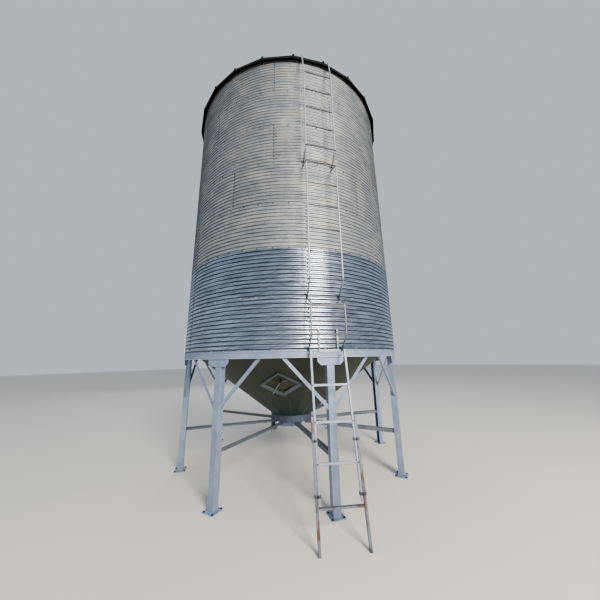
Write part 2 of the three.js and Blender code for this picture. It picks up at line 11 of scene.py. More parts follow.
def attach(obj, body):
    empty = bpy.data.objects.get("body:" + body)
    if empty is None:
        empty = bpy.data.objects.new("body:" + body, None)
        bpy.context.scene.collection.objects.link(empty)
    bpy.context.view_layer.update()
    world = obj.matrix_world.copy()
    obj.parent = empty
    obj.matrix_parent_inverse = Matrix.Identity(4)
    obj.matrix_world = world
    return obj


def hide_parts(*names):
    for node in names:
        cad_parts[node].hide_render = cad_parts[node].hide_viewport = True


# A hopper-bottom grain silo: seven corrugated rings under a ribbed roof, on a steel cone with eight legs.
# Metres, +Z up, the ground at z = 0. A bearing is in degrees round the silo's axis: 0 at the front (-Y),
# growing towards +X.

bl_info = {
    "name": "Hopper-bottom grain silo",
    "version": (1, 0, 0),
    "blender": (4, 5, 0),
    "location": "View3D > Sidebar > Silo",
    "description": "Dresses the packed grain silo: wall, hopper, steelwork, roof, ladders and stage",
    "category": "Add Mesh",
}

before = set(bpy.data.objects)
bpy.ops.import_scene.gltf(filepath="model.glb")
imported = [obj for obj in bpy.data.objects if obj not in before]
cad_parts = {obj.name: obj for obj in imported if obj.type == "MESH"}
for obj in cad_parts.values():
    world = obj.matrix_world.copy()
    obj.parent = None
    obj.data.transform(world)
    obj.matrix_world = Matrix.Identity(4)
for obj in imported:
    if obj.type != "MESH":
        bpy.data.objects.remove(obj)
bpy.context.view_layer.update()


def linear(sheet_colour):
    """An sRGB colour written in hex, as linear red, green, blue and alpha: each channel's share to the
    power 2.4 above the short straight part of the curve."""
    share = np.array([int(sheet_colour[i:i + 2], 16) for i in (1, 3, 5)]) / 255
    lit = np.where(share <= 0.04045, share / 12.92, ((share + 0.055) / 1.055) ** 2.4)
    return (*lit.tolist(), 1.0)


def length(name, description, default):
    return FloatProperty(name=name, description=description, default=default, unit="LENGTH",
                         subtype="DISTANCE", precision=4)


def angle(name, description, degrees):
    return FloatProperty(name=name, description=description, default=math.radians(degrees), unit="ROTATION",
                         subtype="ANGLE")


def colour(name, description, sheet_colour):
    return FloatVectorProperty(name=name, description=description, default=linear(sheet_colour)[:3], size=3,
                               subtype="COLOR", min=0, max=1)


def power(name, description, watts):
    return FloatProperty(name=name, description=description, default=watts, unit="POWER")


class WallSettings(bpy.types.PropertyGroup):
    """Sizes and colours of the corrugated wall."""

    radius: length("Radius", "From the axis to the middle of the corrugations", 2.286)
    base: length("Base height", "Height of the wall's foot above the ground", 2.150)
    rings: IntProperty(name="Rings", description="Number of sheet rings", default=7, min=1)
    ring_height: length("Ring height", "Height of one ring of sheets", 0.8128)
    corrugations: IntProperty(name="Corrugations", description="Corrugations in one ring", default=12, min=1)
    depth: length("Corrugation depth", "From valley to crest", 0.0122)
    crest: FloatProperty(name="Crest", description="How far up a corrugation its crest lies, 0 to 1",
                         default=0.55)
    sheet: length("Sheet thickness", "Thickness drawn for the sheets", 0.0016)
    bolts: IntProperty(name="Bolts", description="Bolts round one ring", default=54, min=1)
    first_bolt: angle("First bolt", "Bearing of a bolt of the rings' seams", 0.87)
    new_zinc: colour("New zinc", "The lower rings' newer sheets", "#a0aec3")
    old_zinc: colour("Old zinc", "The upper rings' older sheets", "#8e97a1")
    bloom: colour("Zinc bloom", "Pale bloom on the older sheets", "#acaeac")
    # The dark line under each crest is painted shade, where the corrugation faces down.
    new_crest_shade: colour("New sheets' dirt", "Dark line under each crest of the newer sheets", "#141d29")
    old_crest_shade: colour("Old sheets' dirt", "Dark line under each crest of the older sheets", "#262c33")


class HopperSettings(bpy.types.PropertyGroup):
    """Sizes and colours of the hopper, its collar, spout and hatch."""

    slope: angle("Slope", "Slope of the cone", 37)
    rise: length("Rise", "Height above the wall's foot at which the cone would meet the wall's middle", 0.120)
    sheet: length("Sheet thickness", "Thickness of the cone's plates", 0.006)
    bottom: length("Bottom", "Height of the cone's lower end", 0.770)
    collar_radius: length("Collar radius", "Outer radius of the collar round the cone's end", 0.440)
    collar_bottom: length("Collar bottom", "Height of the collar's underside", 0.745)
    collar_mouth: length("Collar mouth", "Radius of the hole in the collar's bottom", 0.305)
    spout: length("Spout", "Outer width of the square spout", 0.440)
    spout_bottom: length("Spout bottom", "Height of the spout's lip", 0.640)
    spout_skirt: length("Spout skirt", "Height of the lower edge of the skirt round the gate", 0.618)
    hatch_radius: length("Hatch radius", "Distance of the hatch's middle from the axis", 1.380)
    hatch_outer: length("Hatch outer", "Outer width of the hatch's frame", 0.530)
    hatch_inner: length("Hatch inner", "Clear width of the hatch's frame", 0.420)
    hatch_proud: length("Hatch proud", "How far the frame stands out of the cone", 0.028)
    plate: colour("Plate", "The cone's dull olive plate", "#404840")
    hatch_steel: colour("Hatch steel", "The hatch's paler frame and bar", "#69737a")
    door: colour("Door", "The hatch door's olive plate", "#494e42")


class SteelworkSettings(bpy.types.PropertyGroup):
    """Sizes and colours of the ring beam, legs and struts."""

    legs: IntProperty(name="Legs", description="Number of legs", default=8, min=1)
    first_leg: angle("First leg", "Bearing of the first leg", 22.9)
    beam_radius: length("Beam radius", "Outer radius of the ring beam", 2.290)
    beam_height: length("Beam height", "Height of the ring beam", 0.110)
    leg_face: length("Leg face", "Distance of a leg's outer face from the axis", 2.262)
    leg_width: length("Leg width", "Width of a leg across the bay", 0.115)
    leg_depth: length("Leg depth", "Depth of a leg towards the axis", 0.100)
    plate: length("Plate thickness", "Thickness of the leg's channel, braces and struts", 0.006)
    gusset_width: length("Gusset width", "Width of the plate at a leg's head", 0.420)
    gusset_drop: length("Gusset drop", "How far the gusset reaches below the wall's foot", 0.222)
    foot_size: length("Foot size", "Width of a foot plate", 0.200)
    brace_width: length("Brace width", "Width of a knee brace's face", 0.051)
    brace_flange: length("Brace flange", "Width of a knee brace's lower flange", 0.030)
    brace_foot: length("Brace foot", "How far below the wall's foot a brace leaves the leg", 0.805)
    brace_reach: length("Brace reach", "How far along the bay a brace meets the beam", 0.820)
    strut_width: length("Strut width", "Width of a tie strut's angle iron", 0.0635)
    coat: colour("Coat", "The steelwork's pale blue-grey coat", "#8293ac")
    # Bare steel also paints the highlight on the ring beam's lip.
    bare: colour("Bare steel", "Where the coat is rubbed off", "#c5cbd2")
    dust: colour("Dust", "Dry dust and splashes on the struts", "#67645b")
    rust: colour("Rust", "Rust at edges, bolts and runs", "#7a4a2c")


class RoofSettings(bpy.types.PropertyGroup):
    """Sizes and colours of the roof, its collar and lid."""

    sides: IntProperty(name="Panels", description="Number of roof panels and ribs", default=24, min=3)
    turn: angle("Turn", "Bearing of a rib", 10.4)
    pitch: angle("Pitch", "Slope of the panels", 30)
    radius: length("Radius", "Distance of the eave's corners from the axis", 2.375)
    sheet: length("Sheet thickness", "Thickness drawn for the panels", 0.010)
    eave: length("Eave", "Height of the eave's lower edge", 7.759)
    mouth: length("Mouth", "Radius of the fill opening", 0.330)
    rib_width: length("Rib width", "Width of a rib", 0.044)
    rib_height: length("Rib height", "Height of a rib at the eave", 0.038)
    zinc: colour("Zinc", "The roof's dull zinc", "#8b8f90")
    # Painted shade: the eave's rim and the roof's underside are darkened to stand for their shade.
    grime: colour("Grime", "Dark grime on the eave and under it", "#1c1d1c")


class LadderSettings(bpy.types.PropertyGroup):
    """Sizes and colours of the ladders and their bracket."""

    bearing: angle("Bearing", "Bearing of the wall ladder", 20.15)
    reach: length("Reach", "Distance of the wall ladder's plane from the axis", 2.546)
    width: length("Width", "Between the wall ladder's rails", 0.522)
    rail: length("Rail radius", "Radius of a wall ladder's rail", 0.0125)
    rung: length("Rung radius", "Radius of a rung", 0.0115)
    rung_step: length("Rung step", "Between two rungs of the wall ladder", 0.4064)
    base_bearing: angle("Base bearing", "Bearing of the leaning ladder's head", 20.74)
    base_reach: length("Base reach", "Distance of the leaning ladder's head from the axis", 2.382)
    base_turn: angle("Base turn", "Direction that the leaning ladder faces", 11.8)
    base_lean: angle("Base lean", "Lean of the lower ladder from upright", 12.1)
    base_width: length("Base width", "Between the middles of the leaning ladder's rails", 0.497)
    base_rail: length("Base rail", "Width of a leaning rail", 0.032)
    base_depth: length("Base depth", "Depth of a leaning rail", 0.026)
    base_step: length("Base step", "Between two rungs of the leaning ladder", 0.449)
    bracket_bearing: angle("Bracket bearing", "Bearing of the hooked uprights' middle", 22.0)
    zinc: colour("Zinc", "The wall ladder's rails", "#a3abb6")
    # Painted shade: this darker zinc colours the rungs, the rails' lower bends and the clamps' bands.
    shade: colour("Dull zinc", "The wall ladder's rungs, lower bends", "#4b5056")
    chalk: colour("Chalk", "Chalky weathered zinc of the leaning ladder", "#8794a7")
    rust: colour("Rust", "Rust on the ladders", "#543a2f")


class StageSettings(bpy.types.PropertyGroup):
    """The camera, the floor and the lights."""

    camera_bearing: angle("Camera bearing", "Bearing of the camera round the axis", 8.0)
    camera_distance: length("Camera distance", "Distance of the camera from the axis", 5.8906)
    camera_height: length("Camera height", "Height of the camera above the ground", 2.040)
    camera_pan: angle("Camera pan", "Turn to the right of the axis", 2.2415)
    camera_pitch: angle("Camera pitch", "Tilt above the horizon", 13.3814)
    camera_roll: angle("Camera roll", "Roll about the view's direction", -1.106)
    lens: FloatProperty(name="Lens", description="Focal length on 36 mm", default=14.562, unit="CAMERA")
    floor: colour("Floor", "The plain pale floor", "#d6d5d1")
    air: colour("Air", "The plain pale surroundings", "#e4eaf1")
    air_strength: FloatProperty(name="Air strength", description="Strength of the air's light", default=0.64)
    key: colour("Key colour", "Slightly warm light of the soft key light", "#fff0de")
    key_power: power("Key light", "Power of the soft key light", 3900)
    fill_power: power("Fill light", "Power of the soft fill light", 60)
    back_power: power("Back light", "Power of the soft light behind", 450)


GROUPS = {
    "silo_wall": WallSettings,
    "silo_hopper": HopperSettings,
    "silo_steelwork": SteelworkSettings,
    "silo_roof": RoofSettings,
    "silo_ladder": LadderSettings,
    "silo_stage": StageSettings,
}

GAP = 0.0003  # between a piece and what it is seated on
UNDER_BEAM = 0.008 + GAP  # from the wall's foot down to what stands under the ring beam's shelf
BRACE_RISE = 1.1  # a knee brace's rise over its run along the bay
DOOR_FACE = -0.008  # the hatch door's face, in the hatch's own axes
LADDER_ANCHORS = (-5.91, 7.38)  # bearings of the rails' wall bolts, from the ladder's own bearing
NEW_RINGS = 2  # the lowest rings have newer sheets
SHEETS_PER_RING = 6
# Bearing of one vertical seam of each ring. The others follow at equal steps.
SEAM_BEARINGS = (14.3, 14.3, 14.3, 41.3, 0.5, 27.8, 0.5)
# The cone's welds: the bearing of one, the step to the next, and which of each half round get a painted
# highlight on their lower half.
FIRST_WELD, WELD_STEP, HIGHLIT_WELDS = 5.5, 15, (2, 9, 10)


def settings(*names):
    """The scene's settings of each group named, in that order."""
    return [getattr(bpy.context.scene, "silo_" + name) for name in names]


# Shapes. A shape is a pair: its points, and a list of arrays of the points' numbers round each face.

def spot(bearing, radius, height):
    """Points by bearing in degrees, distance from the axis and height: x is the distance times the
    bearing's sine, y is minus the distance times its cosine."""
    turn, radius, height = np.broadcast_arrays(np.radians(bearing), radius, height)
    return np.stack([radius * np.sin(turn), -radius * np.cos(turn), height], axis=-1)


def about_axis(points, bearing):
    """Points turned about the silo's axis by a bearing in degrees."""
    turn = math.radians(bearing)
    cosine, sine = math.cos(turn), math.sin(turn)
    x, y, z = np.moveaxis(np.asarray(points, float), -1, 0)
    return np.stack([x * cosine - y * sine, x * sine + y * cosine, z], axis=-1)


def unit(vectors):
    """Vectors divided by their own lengths."""
    vectors = np.asarray(vectors, float)
    return vectors / np.linalg.norm(vectors, axis=-1, keepdims=True)


def carried(loops, closed=False):
    """A closed body through cross-section loops (sections x corners x 3) that follow one another: quads
    between each corner and its neighbours in the loop and in the next section. The ends are capped, or
    closed on each other."""
    sections, corners = loops.shape[:2]
    number = np.arange(sections * corners).reshape(sections, corners)
    following = np.roll(number, -1, axis=0)
    here, ahead = (number, following) if closed else (number[:-1], following[:-1])
    faces = [np.stack([here, np.roll(here, -1, 1), np.roll(ahead, -1, 1), ahead], -1).reshape(-1, 4)]
    if not closed:
        faces += [number[:1, ::-1], number[-1:]]
    return loops.reshape(-1, 3), faces


def turned(profile, steps):
    """A closed profile of (radius, height) points turned about the axis, in a number of equal steps all
    round."""
    bearing = np.arange(steps)[:, None] * 360 / steps
    return carried(spot(bearing, *np.transpose(profile)), closed=True)


def slab(outline, low, high):
    """An outline of (x, y) points carried straight from one height to another."""
    return carried(np.stack([np.insert(outline, 2, z, axis=1) for z in (low, high)]))


def upright(outline, near, far):
    """An outline of (x, z) points carried straight from one y to another."""
    return carried(np.stack([np.insert(outline, 1, y, axis=1) for y in (near, far)]))


def rectangle(x0, x1, y0, y1):
    """A rectangle's four corners in turn."""
    return np.array([[x0, y0], [x1, y0], [x1, y1], [x0, y1]], float)


def block(x, y, z):
    """A box, from its lowest and highest x, y and z."""
    return slab(rectangle(*x, *y), *z)


def between(profile, along, start, end):
    """Profile points (k x 3) carried along a direction from one plane to another, each plane a point and
    a normal: each corner is moved along by its distance to the plane over the slope between direction
    and normal."""
    along = unit(along)
    ends = []
    for point, normal in (start, end):
        normal = np.asarray(normal, float)
        reach = (np.asarray(point) - profile) @ normal / (along @ normal)
        ends.append(profile + reach[:, None] * along)
    return carried(np.stack(ends))


def rounded(points, bend, steps=6):
    """A path with each corner replaced by a smooth bend: a curve of second degree from one bend length
    before the corner to one after it, pulled towards the corner."""
    points = np.asarray(points, float)
    share = np.linspace(0, 1, steps)[:, None]
    path = [points[:1]]
    for before, corner, after in zip(points[:-2], points[1:-1], points[2:]):
        reach = min(bend, 0.45 * np.linalg.norm(corner - before), 0.45 * np.linalg.norm(after - corner))
        start = corner + reach * unit(before - corner)
        end = corner + reach * unit(after - corner)
        path.append((1 - share) ** 2 * start + 2 * share * (1 - share) * corner + share ** 2 * end)
    path.append(points[-1:])
    return np.concatenate(path)


def along_path(profile, path, side, scale=None, closed=False):
    """A profile of (across, out) points carried along a path. The direction at a point is the mean of
    the lengths before and after it, the profile's first axis is the given side made square to it, the
    second is square to both and is lengthened at a bend by one over the cosine of half its turn. Scale
    widens each section."""
    path = np.asarray(path, float)
    lengths = unit(np.roll(path, -1, 0) - path)
    before, after = np.roll(lengths, 1, 0), lengths.copy()
    if not closed:
        before[0], after[-1] = lengths[0], lengths[-2]
    ahead = unit(before + after)
    mitre = 1 / np.clip(np.sum(ahead * after, -1), 0.3, 1)
    across = np.broadcast_to(np.asarray(side, float), path.shape)
    across = unit(across - np.sum(across * ahead, -1, keepdims=True) * ahead)
    out = np.cross(ahead, across) * mitre[:, None]
    sized = np.asarray(profile, float) * (np.ones((len(path), 2)) if scale is None else scale)[:, None, :]
    loops = path[:, None] + sized[..., :1] * across[:, None] + sized[..., 1:] * out[:, None]
    return carried(loops, closed)


def circle(radius, sides):
    """Points round a circle: the radius times the cosine and sine of equal steps of a whole turn."""
    turn = np.arange(sides) * 2 * math.pi / sides
    return radius * np.column_stack([np.cos(turn), np.sin(turn)])


def round_bar(path, radius, side, sides, scale=None):
    """A circle carried along a path."""
    return along_path(circle(radius, sides), path, side, scale)


def flat_bar(path, width, thickness, side):
    """A flat bar with broken corners along a path."""
    x, y, edge = width / 2, thickness / 2, min(width, thickness) / 5
    profile = [[-x, edge - y], [edge - x, -y], [x - edge, -y], [x, edge - y],
               [x, y - edge], [x - edge, y], [edge - x, y], [-x, y - edge]]
    return along_path(profile, path, side)


def joined(shapes):
    """Several shapes as one, each one's numbers moved up past the ones before it."""
    points, faces, start = [], [], 0
    for part_points, part_faces in shapes:
        points.append(part_points)
        faces += [face + start for face in part_faces]
        start += len(part_points)
    return np.concatenate(points), faces


def bolts(places, outward, size, seed):
    """Hexagon heads on washers, one at each place: five six-sided sections about the outward direction,
    each bolt turned by its own chance angle. The size is the head's radius."""
    places = np.asarray(places, float).reshape(-1, 3)
    outward = unit(np.broadcast_to(outward, places.shape))
    hint = np.where(np.abs(outward[:, 2:]) > 0.9, [[1.0, 0, 0]], [[0, 0, 1.0]])
    first = unit(np.cross(hint, outward))
    second = np.cross(outward, first)
    radii = np.array([1.35, 1.35, 1.0, 1.0, 0.8]) * size
    heights = np.array([-0.5, 0.2, 0.28, 0.95, 1.1]) * size
    turn = np.random.default_rng(seed).random((len(places), 1, 1)) * math.pi / 3
    spoke = turn + np.arange(6)[None, None] * math.pi / 3
    arm = radii[None, :, None]
    points = (places[:, None, None] + (arm * np.cos(spoke))[..., None] * first[:, None, None]
              + (arm * np.sin(spoke))[..., None] * second[:, None, None]
              + heights[None, :, None, None] * outward[:, None, None])
    _, faces = carried(np.zeros((5, 6, 3)))
    starts = np.arange(len(places))[:, None, None] * 30
    return points.reshape(-1, 3), [(face[None] + starts).reshape(-1, face.shape[1]) for face in faces]


def ripple(bearing, height, amount, seed):
    """Slow waves of a rolled sheet: the sum of eight sines over bearing and height, of chance lengths
    and shifts, times a quarter of the amount."""
    chance = np.random.default_rng(seed)
    wave = np.zeros(np.broadcast(bearing, height).shape)
    sines = chance.integers(2, 17, 8), chance.uniform(-4, 4, 8), chance.uniform(0, 6.3, 8)
    for turns, rise, shift in zip(*sines):
        wave = wave + np.sin(np.radians(bearing) * turns + height * rise + shift)
    return amount * wave / 4


def put_mesh(name, coats, stands_for, body="silo", edge=0.0, smooth=40, moved=None, attributes=None):
    """Makes one piece from coats, each a finish's name and the shapes that have it: their points and
    faces in one mesh, moved to their place, its faces turned outward, smooth below an angle in degrees,
    with an optional bevel on its sharper edges."""
    shapes = [joined(group) for _, *group in coats]
    counts = [sum(len(face) for face in faces) for _, faces in shapes]
    points, faces = joined(shapes)
    if moved:
        points = moved(points)
    mesh = bpy.data.meshes.new(name)
    mesh.vertices.add(len(points))
    mesh.vertices.foreach_set("co", points.astype(np.float32).ravel())
    sizes = np.concatenate([np.full(len(face), face.shape[1]) for face in faces])
    mesh.loops.add(int(sizes.sum()))
    mesh.loops.foreach_set("vertex_index", np.concatenate([face.ravel() for face in faces]).astype(np.int32))
    mesh.polygons.add(len(sizes))
    mesh.polygons.foreach_set("loop_start", np.concatenate([[0], np.cumsum(sizes)[:-1]]).astype(np.int32))
    for finish, *_ in coats:
        mesh.materials.append(finish_of(finish))
    mesh.polygons.foreach_set("material_index", np.repeat(np.arange(len(coats)), counts).astype(np.int32))
    mesh.update(calc_edges=True)
    for key, values in (attributes or {}).items():
        stored = mesh.attributes.new(key, "FLOAT", "POINT")
        stored.data.foreach_set("value", np.asarray(values, np.float32))
    shell = bmesh.new()
    shell.from_mesh(mesh)
    bmesh.ops.recalc_face_normals(shell, faces=shell.faces)
    shell.to_mesh(mesh)
    shell.free()
    mesh.polygons.foreach_set("use_smooth", np.ones(len(mesh.polygons), bool))
    if mesh.validate():
        raise RuntimeError(f"{name} has faces that Blender can't keep")
    piece = bpy.data.objects.new(name, mesh)
    bpy.context.scene.collection.objects.link(piece)
    if edge:
        bevel = piece.modifiers.new("Broken edges", "BEVEL")
        bevel.width, bevel.segments, bevel.harden_normals = edge, 2, True
        bevel.limit_method, bevel.angle_limit = "ANGLE", math.radians(smooth)
    else:
        mesh.set_sharp_from_angle(angle=math.radians(smooth))
    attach(piece, body)
    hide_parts(*stands_for)
    return piece


# Materials

def shade(tint, share=1.0):
    """A linear colour times a share, with its alpha."""
    return (*[min(1.0, channel * share) for channel in tint[:3]], 1.0)


def add_node(tree, kind, *inputs, sockets=None, output=0, stops=(), tint=(1, 1, 1), easing="LINEAR",
             **choices):
    """Adds a node with its settings, and with what goes into its sockets, in their order or by name: a
    value, or another node's output. A colour ramp's stops are pairs of a place and a share of its tint.
    Gives one of the node's outputs."""
    made = tree.nodes.new("ShaderNode" + kind)
    for key, value in choices.items():
        setattr(made, key, value)
    for key, value in (*enumerate(inputs), *(sockets or {}).items()):
        if isinstance(value, bpy.types.NodeSocket):
            tree.links.new(value, made.inputs[key])
        else:
            made.inputs[key].default_value = value
    if stops:
        elements = made.color_ramp.elements
        while len(elements) < len(stops):
            elements.new(0.5)
        for element, (place, share) in zip(elements, stops):
            element.position, element.color = place, shade(tint, share)
        made.color_ramp.interpolation = easing
    return made.outputs[output] if made.outputs else None


def new_material(name):
    """An empty material, the function that adds a node to it, and the object coordinates for its
    patterns."""
    material = bpy.data.materials.new(name)
    material.use_nodes = True
    material.node_tree.nodes.clear()
    node = partial(add_node, material.node_tree)
    return material, node, node("TexCoord", output="Object")


def blotches(node, place, size, detail=3.0, stretch=(1, 1, 1), crystals=False):
    """A noise whose blotches are about as wide as a size in metres, drawn out by the stretch along each
    axis, or crystals of that size, each with its own chance colour."""
    drawn = node("Mapping", sockets={"Vector": place, "Scale": [1 / (size * share) for share in stretch]})
    if crystals:
        return node("TexVoronoi", sockets={"Vector": drawn, "Scale": 1.0}, output="Color")
    sockets = {"Vector": drawn, "Scale": 1.0, "Detail": detail, "Roughness": 0.6}
    return node("TexNoise", sockets=sockets, output="Fac")


def layered(node, tone, *layers, how="MIX"):
    """Colours laid over a first one in turn, each by its own share. A colour mix has its factor at
    socket 0, its colours at 6 and 7, and its result at output 2."""
    for share, over in layers:
        tone = node("Mix", sockets={0: share, 6: tone, 7: over}, output=2, data_type="RGBA", blend_type=how)
    return tone


def finished(material, node, tone, metallic, roughness, height=None, depth=0.0, strength=0.5):
    """Ends a material: the shader takes its colour, its gloss and, from a height worth a depth in
    metres, its relief."""
    sockets = {"Base Color": tone, "Metallic": metallic, "Roughness": roughness}
    if height is not None:
        sockets["Normal"] = node("Bump", sockets={"Strength": strength, "Distance": depth, "Height": height})
    node("OutputMaterial", node("BsdfPrincipled", sockets=sockets))
    return material


def galvanised_sheet(name, wall, dull):
    """Hot-dip galvanised steel, roll-formed. New, its colour carries painted reflections: streaks along the
    rolling and slanted gleams where the sheet waves, and a painted black line of shade under each crest.
    Dulled, it is an even soft grey with a zinc spangle, pale bloom and faint rain marks, and fainter
    painted reflections and shade lines. Real spangle is about 10 mm wide and is drawn 30 mm wide, so that
    it shows. The streaks are 30 mm high, and the lines follow the corrugations."""
    # dirt is the colour of the painted shade line under each crest.
    base, dirt = (wall.old_zinc, wall.old_crest_shade) if dull else (wall.new_zinc, wall.new_crest_shade)
    metallic, roughness, spread = (0.60, 0.39, 0.12) if dull else (0.94, 0.16, 0.24)
    material, node, place = new_material(name)
    along = node("Attribute", attribute_name="along", output="Fac")
    height = node("SeparateXYZ", place, output="Z")
    above = node("Math", height, wall.base, operation="SUBTRACT")
    count = node("Math", above, wall.ring_height / wall.corrugations, operation="DIVIDE")
    crest = node("Math", node("Math", count, 0.63, operation="ADD"), operation="FLOOR")

    rolled = node("CombineXYZ", along, 0.0, height)
    # Painted reflection: streaks along the rolling lighten and darken the colour as mirrored surroundings
    # would.
    streak = blotches(node, rolled, 0.030, 3, (16, 1, 1))
    tone = node("ValToRGB", streak, tint=base,
                stops=[(0.33, 1 - 1.4 * spread), (0.5, 1), (0.64, 1 + 1.5 * spread)])
    # Painted reflection: slanted gleams where the sheet waves, multiplied into the colour.
    lag = node("Math", node("Math", count, crest, operation="SUBTRACT"), 0.16, operation="MULTIPLY")
    slant = node("Math", along, lag, operation="SUBTRACT")
    waves = node("CombineXYZ", slant, 0.0, node("Math", crest, 0.022, operation="MULTIPLY"))
    gleam = blotches(node, waves, 0.085, 2)
    lit = node("ValToRGB", gleam, stops=[(0.36, 0.80 if dull else 0.68), (0.5, 0.9), (0.62, 1)])
    spangle = node("ValToRGB", blotches(node, place, 0.030, crystals=True), stops=[(0, 0.72), (1, 1)])
    chance = node("Attribute", attribute_name="sheet_tone", output="Fac")
    each = node("ValToRGB", chance, stops=[(0, 0.86), (1, 1)])
    tone = layered(node, tone, (0.6 if dull else 0.8, lit), (0.75 if dull else 0.3, spangle), (1.0, each),
                   how="MULTIPLY")
    if dull:
        bloom = node("ValToRGB", blotches(node, rolled, 0.30, 5, (1.6, 1, 1)), stops=[(0.45, 0), (0.68, 0.6)])
        rain = node("ValToRGB", blotches(node, place, 0.06, 4, (1, 1, 9)), stops=[(0.55, 0), (0.8, 0.35)])
        tone = layered(node, tone, (bloom, shade(wall.bloom)), (rain, shade(base, 0.55)))

    # Painted shade: a dark line under each crest, where the corrugation faces down.
    line = node("ValToRGB", node("Math", count, operation="FRACT"), easing="EASE",
                stops=[(0.12, 0), (0.25, 0.85), (0.40, 1), (0.48, 0)])
    breaks = node("ValToRGB", blotches(node, rolled, 0.05, 3, (5, 1, 1)),
                  stops=[(0.30, 0.55 if dull else 0.86), (0.6, 0.88 if dull else 1)])
    line = layered(node, line, (1.0, breaks), how="MULTIPLY")
    tone = layered(node, tone, (line, shade(dirt)))
    gloss = node("Math", streak, 0.22, roughness, operation="MULTIPLY_ADD")
    gloss = node("Math", line, 0.25, gloss, operation="MULTIPLY_ADD", use_clamp=True)
    relief = node("Math", gleam, streak, operation="ADD")
    return finished(material, node, tone, metallic, gloss, relief, 0.0016)


def bolt_zinc(name, dark, pale):
    """Zinc-plated bolts on rubber washers, bright or dulled: small, so only their tone and a soft gloss
    read."""
    material, node, place = new_material(name)
    spots = node("ValToRGB", blotches(node, place, 0.03, 2), stops=[(0.3, 0), (0.7, 1)])
    return finished(material, node, layered(node, linear(dark), (spots, linear(pale))), 0.6, 0.42)


def perished_rubber(name, dark, pale):
    """A rubber seal gone hard and dusty: nearly black, matt and cracked. The cracks are drawn 12 mm
    apart, coarser than real ones, so that they show."""
    material, node, place = new_material(name)
    cracks = blotches(node, place, 0.012, 6)
    dusty = node("ValToRGB", cracks, stops=[(0.35, 0), (0.7, 1)])
    tone = layered(node, linear(dark), (dusty, linear(pale)))
    return finished(material, node, tone, 0.0, 0.85, cracks, 0.0006)


def coated_steel(name, steelwork, share, dust=0.0):
    """Structural steel under a thin pale blue-grey coat: uneven brushing, faint runs of dirt, bare steel
    painted along a marked edge as a painted highlight, small chips and a few rust spots. The share darkens
    it under the hopper as painted shade, where it is also duller, and dust lies on it in brownish clouds.
    Chips of a few millimetres are drawn 30 mm wide, so that they show, and the runs are as wide as real ones,
    22 mm."""
    material, node, place = new_material(name)
    # The share darkens the coat as painted shade.
    coat, bare = shade(steelwork.coat, share), shade(steelwork.bare)
    cloud = blotches(node, place, 0.22, 5)
    tone = node("ValToRGB", cloud, tint=coat, stops=[(0.3, 0.84), (0.52, 1), (0.72, 1.16)])
    runs = node("ValToRGB", blotches(node, place, 0.022, 4, (1, 1, 12)), stops=[(0.58, 0), (0.8, 0.4)])
    tone = layered(node, tone, (runs, shade(coat, 0.5)))
    if dust:
        settled = node("ValToRGB", blotches(node, place, 0.16, 6, (1, 1, 0.5)),
                       stops=[(0.35, 0.4 * dust), (0.65, dust)])
        tone = layered(node, tone, (settled, shade(steelwork.dust)))
    chips = blotches(node, place, 0.03, 6)
    chipped = node("ValToRGB", chips, stops=[(0.65, 0), (0.70, 0.6)])
    # Painted highlight: bare steel laid where the mesh marks it, along the ring beam's lip.
    rubbed = node("Math", node("Attribute", attribute_name="rubbed", output="Fac"), 0.9, operation="MULTIPLY")
    rusty = node("ValToRGB", blotches(node, place, 0.07, 8), stops=[(0.70, 0), (0.76, 0.7)])
    tone = layered(node, tone, (chipped, bare), (rubbed, bare), (rusty, shade(steelwork.rust)))
    gloss = node("Math", cloud, 0.25, 0.34 if share == 1 else 0.56, operation="MULTIPLY_ADD")
    return finished(material, node, tone, 0.35, gloss, chips, 0.0006)


def hopper_plate(name, plate):
    """Mill-finish plate gone dull olive grey, and bluer low on the cone: a little darker beside the
    welds, clouded, speckled with dust, and with a soft sheen. The distance from a weld is the bearing
    from it times the distance from the axis, and ten times that goes into its ramp. Specks of dust are
    drawn 12 mm wide, coarser than real ones, so that they show."""
    material, node, place = new_material(name)
    cloud = blotches(node, place, 0.30, 6)
    tone = node("ValToRGB", cloud, tint=plate, stops=[(0.3, 0.80), (0.5, 1), (0.72, 1.25)])
    speck = node("ValToRGB", blotches(node, place, 0.012, 3), stops=[(0.58, 0), (0.72, 0.35)])
    x, y, z = [node("SeparateXYZ", place, output=axis) for axis in "XYZ"]
    bearing = node("Math", x, node("Math", y, -1.0, operation="MULTIPLY"), operation="ARCTAN2")
    step = math.radians(WELD_STEP)
    seam = node("Math", bearing, math.radians(FIRST_WELD) - step / 2, operation="SUBTRACT")
    share = node("Math", node("Math", seam, step, operation="DIVIDE"), operation="FRACT")
    aside = node("Math", node("Math", share, 0.5, operation="SUBTRACT"), operation="ABSOLUTE")
    squares = node("Math", x, x, node("Math", y, y, operation="MULTIPLY"), operation="MULTIPLY_ADD")
    reach = node("Math", squares, operation="SQRT")
    away = node("Math", node("Math", aside, step * 10.0, operation="MULTIPLY"), reach, operation="MULTIPLY")
    weld = node("ValToRGB", away, stops=[(0, 1), (0.06, 0.6), (0.14, 0)], easing="EASE")
    low = node("ValToRGB", node("Math", z, 0.5, operation="MULTIPLY"), stops=[(0.42, 0.9), (0.72, 0)])
    cool = tuple(np.multiply(shade(plate), (0.66, 0.92, 1.24, 1)))
    tone = layered(node, tone, (speck, shade(plate, 1.8)),
                   (node("Math", weld, 0.22, operation="MULTIPLY"), shade(plate, 0.5)), (low, cool))
    gloss = node("Math", cloud, 0.3, 0.36, operation="MULTIPLY_ADD")
    relief = node("Math", weld, 1.2, cloud, operation="MULTIPLY_ADD")
    return finished(material, node, tone, 0.45, gloss, relief, 0.0025)


